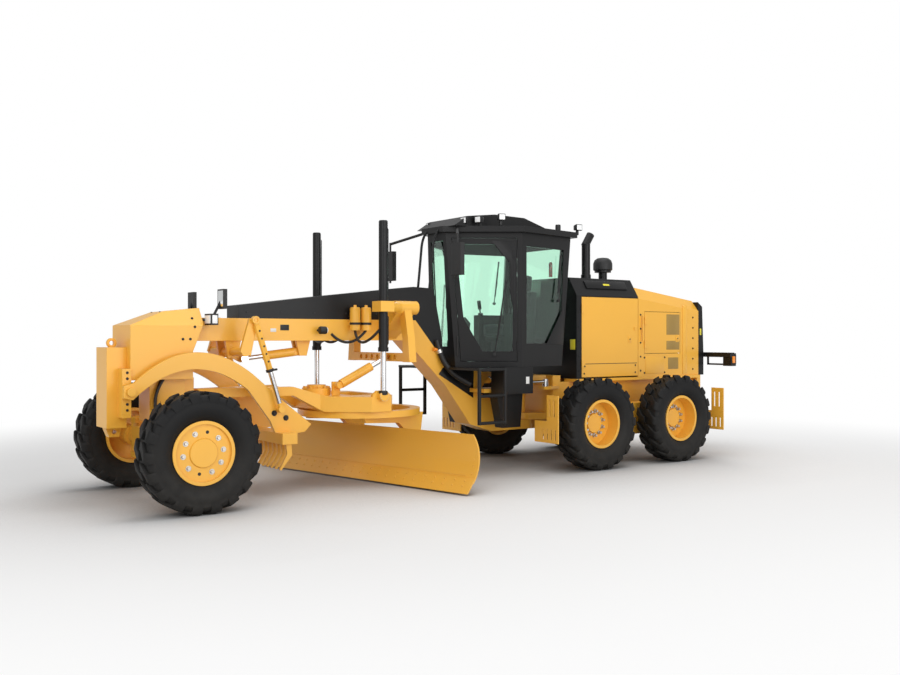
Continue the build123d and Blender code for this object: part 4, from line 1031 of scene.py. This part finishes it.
class GRADER_OT_hood_details(bpy.types.Operator):
    """Seams, mesh screens, latches, bolts and reflectors of the hood."""

    bl_idname = "grader.hood_details"
    bl_label = "Hood details"
    plates = (
        ("service_panel", "yellow", "hood_rear", -7.07, 1.315, (0.40, 0.25, 0.005)),
        ("low_mesh", "mesh", "hood_rear", -7.48, 1.335, (0.23, 0.17, 0.003)),
        ("hood_channel", "yellow", "hood_rear", -7.74, 1.68, (0.10, 1.02, 0.008, 0.006)),
        ("rear_reflector", "yellow_plate", "rear_grille", -8.12, 1.80, (0.035, 0.10, 0.004)),
        ("tail_marker", "amber_lens", "rear_grille", -8.265, 1.385, (0.06, 0.10, 0.008)),
    )

    def execute(self, context):
        for side, sign in SIDES:
            front, rear = f"front_door_{side}", f"rear_door_{side}"
            seam = [on_side(front, sign, -6.165, 1.352)]
            stamp(slab(1.06, 0.008, 0.001, 0.0), seam, f"front_seam_{side}", f"hood_{front}", "plastic")
            self.latch(sign, front, -6.54, 1.69)
            self.latch(sign, rear, -7.57, 1.70)
            for k, (height, tall) in enumerate(((1.905, 0.30), (1.600, 0.13))):
                place = [on_side(rear, sign, -7.475, height)]
                stamp(slab(0.29, tall, 0.003), place, f"louvre_mesh_{side}_{k}", f"hood_{rear}", "mesh")
            low, high = at(-7.70, sign * 0.425, 1.42), at(-7.22, sign * 0.432, 2.08)
            dress(block(f"fan_shroud_{side}", low, high, 0.0), "rear_body", "plastic")
            line = [at(-6.79, sign * 0.575, height) for height in (1.66, 2.02)]
            dress(pipe(f"rear_hinge_{side}", line, 0.011, False), "rear_body", "yellow")
            hatch = land("hood_cowl", at(-6.16, sign * 1.45, 3.30), Vector((0, -sign, -0.86)).normalized())
            lid = slab(0.80, 0.13, 0.020, 0.012)
            stamp(lid, [facing(*hatch)], f"cowl_hatch_{side}", "rear_body", "black")
            spot = [facing(hatch[0] + hatch[1] * 0.018, hatch[1])]
            stamp(slab(0.12, 0.03, 0.004), spot, f"hatch_reflector_{side}", "rear_body", "yellow_plate")
            side_plates(self.plates, "rear_body", side, sign)
            corners = [(along, height) for along in (-5.66, -6.66) for height in (1.22, 1.32)]
            places = [on_side(front, sign, *corner) for corner in corners]
            stamp(hex_bolt(0.009, 0.009), places, f"door_bolts_{side}", f"hood_{front}", "plastic")
            self.bolts(side, sign)
        self.rain_cap()
        return {"FINISHED"}

    def rain_cap(self):
        """Domed cap over the air intake."""
        top, _ = land("stacks", at(-6.56, 0, 4.0), (0, 0, -1))
        dome = [(0.0, -0.120), (0.128, -0.120), (0.140, -0.110), (0.140, -0.020)]
        dome += [(0.122, 0.030), (0.080, 0.062), (0.0, 0.072)]
        dress(lathe("rain_cap", dome, 40, top), "rear_body", "plastic")

    def latch(self, sign, node, along, height):
        """Paddle latch with a lock."""
        spot = [on_side(node, sign, along, height)]
        stamp(slab(0.075, 0.105, 0.004), spot, f"{node}_latch_plate", f"hood_{node}", "yellow")
        stamp(slab(0.044, 0.072, 0.012, 0.005), spot, f"{node}_latch_paddle", f"hood_{node}", "yellow")
        lock = lathe("latch_lock", [(0.0, 0.0), (0.011, 0.0), (0.011, 0.014), (0.0, 0.015)], 16)
        stamp(lock, spot, f"{node}_latch_lock", f"hood_{node}", "plastic")

    def bolts(self, side, sign):
        """Black bolts down the hood's edges and the cowl's front strip, and the tail lenses."""
        places = [on_side("hood_rear", sign, -7.93, 1.24 + 0.155 * k) for k in range(6)]
        places += [on_side("hood_rear", sign, -6.77, 1.24 + 0.20 * k) for k in range(5)]
        corners = [(-7.07 + dx, 1.315 + dz) for dx in (-0.22, 0.22) for dz in (-0.11, 0.11)]
        places += [on_side("hood_rear", sign, *corner) for corner in corners]
        stamp(hex_bolt(0.010, 0.010), places, f"hood_bolts_{side}", "rear_body", "plastic")
        places = [on_side("hood_cowl", sign, -5.57, 1.26 + 0.20 * k) for k in range(5)]
        stamp(hex_bolt(0.010, 0.010), places, f"cowl_bolts_{side}", "rear_body", "plastic")
        face = [facing(*land("rear_grille", at(-9.0, sign * 0.935, 1.39), (1, 0, 0)))]
        stamp(slab(0.085, 0.115, 0.012), face, f"tail_lens_{side}", "rear_body", "red_lens")


# Blade and boom


class GRADER_OT_blade_bolts(bpy.types.Operator):
    """Bolts that hold the cutting edge and the end bits."""

    bl_idname = "grader.blade_bolts"
    bl_label = "Blade bolts"

    def execute(self, context):
        turn = Matrix.Rotation(math.radians(12), 3, "Z")
        centre = at(-2.43, 0, 0)
        forward = turn @ Vector((1, 0, 0))
        across = turn @ Vector((0, 1, 0))
        places = []
        for height in (0.095, 0.150):
            for k in range(24):
                start = centre + forward * 1.2 + across * (-1.725 + 0.15 * k) + Vector((0, 0, height))
                places.append(facing(*land("mouldboard", start, -forward)))
        for end in (-1, 1):
            for height in (0.22, 0.30, 0.38):
                start = centre + forward * 1.2 + across * (end * 1.77) + Vector((0, 0, height))
                places.append(facing(*land("mouldboard", start, -forward)))
        head = lathe("plough_bolt", [(0.0, 0.0), (0.013, 0.0), (0.010, 0.005), (0.0, 0.006)], 12)
        stamp(head, places, "edge_bolts", "mouldboard", "yellow")
        return {"FINISHED"}


class GRADER_OT_boom_details(bpy.types.Operator):
    """Fittings of the boom, cylinders, circle drive motor, nose and push block."""

    bl_idname = "grader.boom_details"
    bl_label = "Boom details"
    plates = (
        ("boom_plate", "plastic", "front_frame", -1.36, 1.83, (0.11, 0.065, 0.003)),
        ("boom_label", "white_plate", "front_frame", -1.22, 1.80, (0.07, 0.04, 0.002)),
        ("box_label", "white_plate", "side_steps", -4.47, 1.17, (0.055, 0.09, 0.002)),
    )

    def execute(self, context):
        top, _ = land("push_block", at(0.532, 0, 3.0), (0, 0, -1))
        ring = [(0.024, -0.020), (0.050, -0.020), (0.050, 0.020), (0.024, 0.020)]
        eye = lathe("lift_eye", ring, 32, top + Vector((0, 0, 0.045)), (0, 1, 0))
        dress(round_edges(eye, 0.003), "front_body", "yellow")
        places = []
        for k in range(10):
            turn = math.tau * k / 10
            spot = at(-1.85 + math.cos(turn) * 0.142, math.sin(turn) * 0.142, 3.0)
            places.append(facing(*land("drawbar", spot, (0, 0, -1))))
        stamp(hex_bolt(0.018, 0.024), places, "motor_bolts", "drawbar", "yellow")
        for side, sign in SIDES:
            self.boom_side(side, sign)
            self.lift_cylinder(side, sign)
            self.neck_cover(side, sign)
            self.scarifier_link(side, sign)
            self.nose(side, sign)
        return {"FINISHED"}

    def boom_side(self, side, sign):
        """Bare plates, cover bolts, a work lamp and the accumulators' fittings."""
        side_plates(self.plates, "front_body", side, sign)
        spots = [on_side("boom_cover", sign, -0.9 - 0.42 * k, 2.0) for k in range(6)]
        stamp(hex_bolt(0.009, 0.008), spots, f"cover_bolts_{side}", "front_body", "plastic")
        root, out = land("front_frame", at(-1.78, sign * 2.0, 1.80), (0, -sign, 0))
        lamp = root + out * 0.10
        shell = [lamp + Vector((step, 0, 0)) for step in (0.03, -0.06)]
        face = [lamp + Vector((step, 0, 0)) for step in (-0.056, -0.068)]
        parts = [
            rod(f"boom_lamp_arm_{side}", root, lamp, 0.012, 12),
            rod(f"boom_lamp_shell_{side}", *shell, 0.045, 20, 0.012),
        ]
        dress(join(parts, f"boom_lamp_{side}"), "front_body", "plastic")
        lens = rod(f"boom_lamp_lens_{side}", *face, 0.037, 20, 0.004)
        dress(lens, "front_body", "white_lens")
        band = [(0.0622, -0.014), (0.065, -0.014), (0.065, 0.014), (0.0622, 0.014)]
        cap = [(0.0, 0.0), (0.058, 0.0), (0.055, 0.012), (0.020, 0.016), (0.018, 0.040), (0.0, 0.042)]
        for k in range(2):
            spot = at(-2.23 - 0.15 * k, sign * 0.25, 2.06)
            strap = lathe(f"can_band_{side}_{k}", band, 28, spot - Vector((0, 0, 0.18)))
            dress(strap, "front_body", "plastic")
            dress(lathe(f"can_cap_{side}_{k}", cap, 28, spot), "front_body", "yellow")

    def neck_cover(self, side, sign):
        """Black cover on the neck below the cab, and the bare plate on the cowl."""
        face = land("front_frame", at(-3.90, sign * 0.41, 1.20), (0, -sign, 0))[0].y
        line = ((-3.57, 1.335), (-3.50, 1.25), (-4.05, 0.93), (-4.06, 1.335))
        corners = [Vector((at(along, 0, 0).x, face - sign * 0.002, height)) for along, height in line]
        dress(sheet_plate(f"neck_cover_{side}", corners, (0, sign, 0), 0.008), "front_body", "black")
        place = [facing(*land("hood_cowl", at(-4.0, sign * 0.47, 1.62), (-1, 0, 0)))]
        stamp(slab(0.10, 0.14, 0.003), place, f"cowl_plate_{side}", "rear_body", "yellow_plate")

    def lift_cylinder(self, side, sign):
        """End caps, feed pipe and collar of a lift cylinder."""
        low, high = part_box("lift_barrels")
        spot = at(-2.28, sign * 0.80, 0)
        top = [(0.0, high.z - 0.002), (0.050, high.z - 0.002), (0.046, high.z + 0.010), (0.0, high.z + 0.012)]
        ring = ((0.0524, 0.002), (0.060, 0.002), (0.060, 0.05), (0.0524, 0.05))
        gland = [(radius, low.z + height) for radius, height in ring]
        parts = [
            lathe(f"lift_top_{side}", top, 28, spot),
            lathe(f"lift_gland_{side}", gland, 28, spot),
        ]
        for reach, start, end in ((0.062, 2.16, 2.98), (0.064, 1.62, 1.98)):
            line = [
                spot + Vector((-0.040, 0, start)),
                spot + Vector((-reach, 0, start + 0.03)),
                spot + Vector((-reach, 0, end - 0.03)),
                spot + Vector((-0.040, 0, end)),
            ]
            parts.append(pipe(f"lift_pipe_{side}_{start}", line, 0.009, False))
        dress(join(parts, f"lift_fittings_{side}"), "front_body", "black")
        collar = [(0.0325, 1.060), (0.050, 1.065), (0.054, 1.085), (0.050, 1.105), (0.0325, 1.112)]
        dress(lathe(f"lift_collar_{side}", collar, 28, spot), "lift_rods", "plastic")
        eye = spot + Vector((0, 0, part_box("lift_rods")[0].z + 0.058))
        cover = [(0.0, -0.0328), (0.0592, -0.0328), (0.0592, 0.030), (0.052, 0.036), (0.0, 0.036)]
        dress(lathe(f"lift_socket_{side}", cover, 32, eye, (0, sign, 0)), "lift_rods", "yellow")

    def scarifier_link(self, side, sign):
        """Square upper tube, chrome lower rod and clamp of a scarifier link, and the plates' pins."""
        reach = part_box("scarifier_links")[1].y - 0.030
        top, foot = at(-0.844, sign * reach, 1.905), at(-1.150, sign * reach, 0.930)
        upper = rod(f"link_tube_{side}", top.lerp(foot, 0.06), top.lerp(foot, 0.56), 0.036, 8, 0.004)
        dress(upper, "scarifier_links", "yellow")
        lower = rod(f"link_rod_{side}", top.lerp(foot, 0.55), top.lerp(foot, 0.93), 0.0268, 24)
        dress(lower, "scarifier_links", "chrome")
        clamp = rod(f"link_clamp_{side}", top.lerp(foot, 0.545), top.lerp(foot, 0.575), 0.044, 20, 0.004)
        root = top.lerp(foot, 0.56)
        lever = rod(f"link_lever_{side}", root, root + Vector((-0.085, 0, 0.01)), 0.012, 12)
        dress(join([clamp, lever], f"link_clamp_{side}"), "scarifier_links", "plastic")
        # painted shade: flat black discs stand for the link's holes, dark inside
        holes = [top.lerp(foot, 0.12 + 0.085 * k) + Vector((0, sign * 0.033, 0)) for k in range(5)]
        dots = [facing(shaded_hole, (0, sign, 0)) for shaded_hole in holes]
        dot = lathe("link_hole", [(0.0, 0.0), (0.011, 0.0), (0.011, 0.004), (0.0, 0.003)], 16)
        stamp(dot, dots, f"link_holes_{side}", "scarifier_links", "plastic")
        pins = [on_side("scarifier", sign, -1.104, 0.885), on_side("scarifier", sign, -1.245, 0.826)]
        stamp(hex_bolt(0.022, 0.022), pins, f"scarifier_bolts_{side}", "scarifier", "plastic")

    def nose(self, side, sign):
        """Headlamp lenses, bolts of the nose and push block, and the left nose mirror's front glass."""
        front = [facing(*land("mirrors_lamps", at(0.6, sign * 0.31, 1.91), (-1, 0, 0)))]
        stamp(slab(0.150, 0.088, 0.010, 0.006), front, f"head_lens_{side}", "front_body", "white_lens")
        spot = [facing(*land("mirrors_lamps", at(-0.43, sign * 1.0, 1.91), (0, -sign, 0)))]
        stamp(slab(0.058, 0.088, 0.008, 0.006), spot, f"side_lens_{side}", "front_body", "white_lens")
        places = [on_side("push_block", sign, 0.47, height) for height in (0.98, 1.04, 1.30, 1.36)]
        corners = ((-0.24, 1.92), (-0.25, 1.83), (-0.20, 1.70), (-0.12, 1.70))
        places += [on_side("front_frame", sign, *corner) for corner in corners]
        stamp(hex_bolt(0.010, 0.012), places, f"nose_bolts_{side}", "front_body", "plastic")
        if side == "left":
            face = [facing(*land("mirrors_lamps", at(0.6, 0.435, 2.13), (-1, 0, 0)))]
            stamp(slab(0.13, 0.17, 0.004), face, "nose_glass_left", "front_body", "mirror")


def hanging_line(start, end, sag, bulge=0.0, steps=24):
    """Points of a hose that hangs between two ends, bowed forward where a bulge is given."""
    points = []
    for k in range(steps + 1):
        share = k / steps
        drop = 4 * share * (1 - share)
        points.append(Vector(start).lerp(Vector(end), share) + Vector((bulge * drop, 0, -sag * drop)))
    return points


class GRADER_OT_hoses(bpy.types.Operator):
    """Hoses that hang free between two fittings."""

    bl_idname = "grader.hoses"
    bl_label = "Hoses"

    def execute(self, context):
        radius = sizes().hose_radius
        for side, sign in SIDES:
            can, port = at(-2.23, sign * 0.25, 1.80), at(-2.226, sign * 0.80, 1.80)
            self.hose(f"lift_hose_{side}", hanging_line(can, port, 0.14, 0.06), radius)
            can = at(-2.38, sign * 0.25, 1.80)
            port, _ = land("front_frame", at(-1.96, sign * 2.0, 1.76), (0, -sign, 0))
            self.hose(f"boom_hose_{side}", hanging_line(can, port, 0.12), radius)
            for k in range(3):
                top, _ = land("front_frame", at(0.06, sign * (0.13 + 0.045 * k), 1.0), (0, 0, 1))
                foot, _ = land("front_axle", at(0.03, sign * (0.16 + 0.05 * k), 1.05), (0, 0, -1))
                self.hose(f"axle_hose_{side}_{k}", hanging_line(top, foot, 0.0, 0.07 + 0.02 * k), radius)
        return {"FINISHED"}

    def hose(self, name, points, radius):
        """One free hose along its points."""
        piece = dress(pipe(name, points, radius, False), "front_body", "hose")


# Stage

# painted shadow: ambient occlusion darkens the floor towards this grey round and under the machine
PAINTED_FLOOR_SHADOW = (0.16, 0.16, 0.16)  # floor colour under the machine
FADE_START, FADE_END = 4.5, 11.0  # distances between which the floor fades to white
LAMPS = (  # name, place, power and size
    ("key_lamp", (10.0, 8.0, 6.5), 450, 7.0),
    ("fill_lamp", (-1.0, 14.0, 4.5), 640, 8.0),
    ("top_lamp", (-1.0, 1.0, 11.0), 520, 9.0),
    ("rim_lamp", (-10.0, -7.0, 7.0), 450, 6.0),
)
SKY_LIGHT, SKY_SEEN, SKY_SHINE = 0.42, 1.0, 0.45  # light given, seen by the eye, share in reflections
CAMERA_PLACE = at(3.516, 10.13, 1.724)
CAMERA_YAW, CAMERA_PITCH = math.radians(-125.82), math.radians(-0.04)

class GRADER_OT_stage(bpy.types.Operator):
    """Pale floor, soft studio light and the photograph's camera."""

    bl_idname = "grader.stage"
    bl_label = "Stage"

    def execute(self, context):
        deselect()
        bpy.ops.mesh.primitive_circle_add(vertices=96, radius=70, fill_type="NGON", location=(0, 0, 0))
        floor = bpy.context.active_object
        floor.name = "studio_floor"
        material, shader = blank("studio_floor")
        tree = material.node_tree
        # painted shadow on the floor, from ambient occlusion
        painted_shadow = settle(tree.nodes.new("ShaderNodeAmbientOcclusion"), Distance=2.4, Color=(1, 1, 1, 1))
        painted_shadow.samples = 8
        base = mix_colour(material, painted_shadow.outputs["AO"], PAINTED_FLOOR_SHADOW, list(colours().floor))
        feed(shader, "Base Color", base)
        settle(shader, Roughness=0.9, Specular_IOR_Level=0.1)
        glow = tree.nodes.new("ShaderNodeEmission")
        place = tree.nodes.new("ShaderNodeTexCoord").outputs["Object"]
        length = tree.nodes.new("ShaderNodeVectorMath")
        length.operation = "LENGTH"
        tree.links.new(place, length.inputs[0])
        fade = settle(tree.nodes.new("ShaderNodeMapRange"), From_Min=FADE_START, From_Max=FADE_END)
        fade.interpolation_type = "SMOOTHSTEP"
        feed(fade, "Value", length.outputs["Value"])
        blend = tree.nodes.new("ShaderNodeMixShader")
        for k, output in enumerate((fade.outputs["Result"], shader.outputs[0], glow.outputs[0])):
            tree.links.new(output, blend.inputs[k])
        tree.links.new(blend.outputs[0], tree.nodes["Material Output"].inputs["Surface"])
        floor.data.materials.append(material)
        self.light_world(context.scene)
        self.add_lamps()
        self.add_camera(context.scene)
        context.scene.view_settings.view_transform = "Standard"
        return {"FINISHED"}

    def light_world(self, scene):
        """White surroundings for the eye, greyer in reflections and softer for the light they give."""
        world = scene.world or bpy.data.worlds.new("studio")
        scene.world = world
        world.use_nodes = True
        tree = world.node_tree
        background = tree.nodes["Background"]
        background.inputs["Color"].default_value = (1, 1, 1, 1)
        path = tree.nodes.new("ShaderNodeLightPath")
        direct, through = path.outputs["Is Camera Ray"], path.outputs["Is Transmission Ray"]
        seen = math_node(tree, "ADD", direct, through, True)
        shine = math_node(tree, "MULTIPLY", path.outputs["Is Glossy Ray"], SKY_SHINE)
        span = settle(tree.nodes.new("ShaderNodeMapRange"), To_Min=SKY_LIGHT, To_Max=SKY_SEEN)
        feed(span, "Value", math_node(tree, "MAXIMUM", seen, shine))
        feed(background, "Strength", span.outputs["Result"])

    def add_lamps(self):
        """Large soft lamps above, at the front left, the left and behind."""
        for name, spot, power, size in LAMPS:
            deselect()
            bpy.ops.object.light_add(type="AREA", location=spot)
            lamp = bpy.context.active_object
            lamp.name = name
            lamp.data.energy = power
            lamp.data.size = size
            lamp.rotation_euler = (Vector((0, 0, 1)) - Vector(spot)).to_track_quat("-Z", "Y").to_euler()

    def add_camera(self, scene):
        """Camera where the photograph was taken from."""
        deselect()
        flat = math.cos(CAMERA_PITCH)
        look = Vector((math.cos(CAMERA_YAW) * flat, math.sin(CAMERA_YAW) * flat, math.sin(CAMERA_PITCH)))
        turn = look.to_track_quat("-Z", "Y").to_euler()
        bpy.ops.object.camera_add(location=CAMERA_PLACE, rotation=turn)
        camera = bpy.context.active_object
        camera.data.sensor_width = 36
        camera.data.lens = sizes().lens
        scene.camera = camera


class GRADER_PT_looks(bpy.types.Panel):
    """Sidebar with the operators' buttons and the colour and size settings."""

    bl_idname = "GRADER_PT_looks"
    bl_label = "Motor grader"
    bl_space_type = "VIEW_3D"
    bl_region_type = "UI"
    bl_category = "Grader"

    def draw(self, context):
        for operator in OPERATORS:
            self.layout.operator(operator.bl_idname)
        for group in (context.scene.grader_colours, context.scene.grader_sizes):
            for name in group.__annotations__:
                self.layout.prop(group, name)


OPERATORS = [
    GRADER_OT_finishes,
    GRADER_OT_tyres,
    GRADER_OT_wheel_bolts,
    GRADER_OT_cab_fittings,
    GRADER_OT_cab_inside,
    GRADER_OT_hood_details,
    GRADER_OT_blade_bolts,
    GRADER_OT_boom_details,
    GRADER_OT_hoses,
    GRADER_OT_stage,
]
CLASSES = [GraderColours, GraderSizes, *OPERATORS, GRADER_PT_looks]


def register():
    """Register the classes and hang the settings on the scene."""
    for cls in CLASSES:
        bpy.utils.register_class(cls)
    bpy.types.Scene.grader_colours = PointerProperty(type=GraderColours)
    bpy.types.Scene.grader_sizes = PointerProperty(type=GraderSizes)


def unregister():
    """Undo register."""
    del bpy.types.Scene.grader_sizes
    del bpy.types.Scene.grader_colours
    for cls in reversed(CLASSES):
        bpy.utils.unregister_class(cls)


def main():
    """Dress the machine."""
    register()
    for operator in OPERATORS:
        group, name = operator.bl_idname.split(".")
        getattr(getattr(bpy.ops, group), name)()


if __name__ == "__main__":
    main()
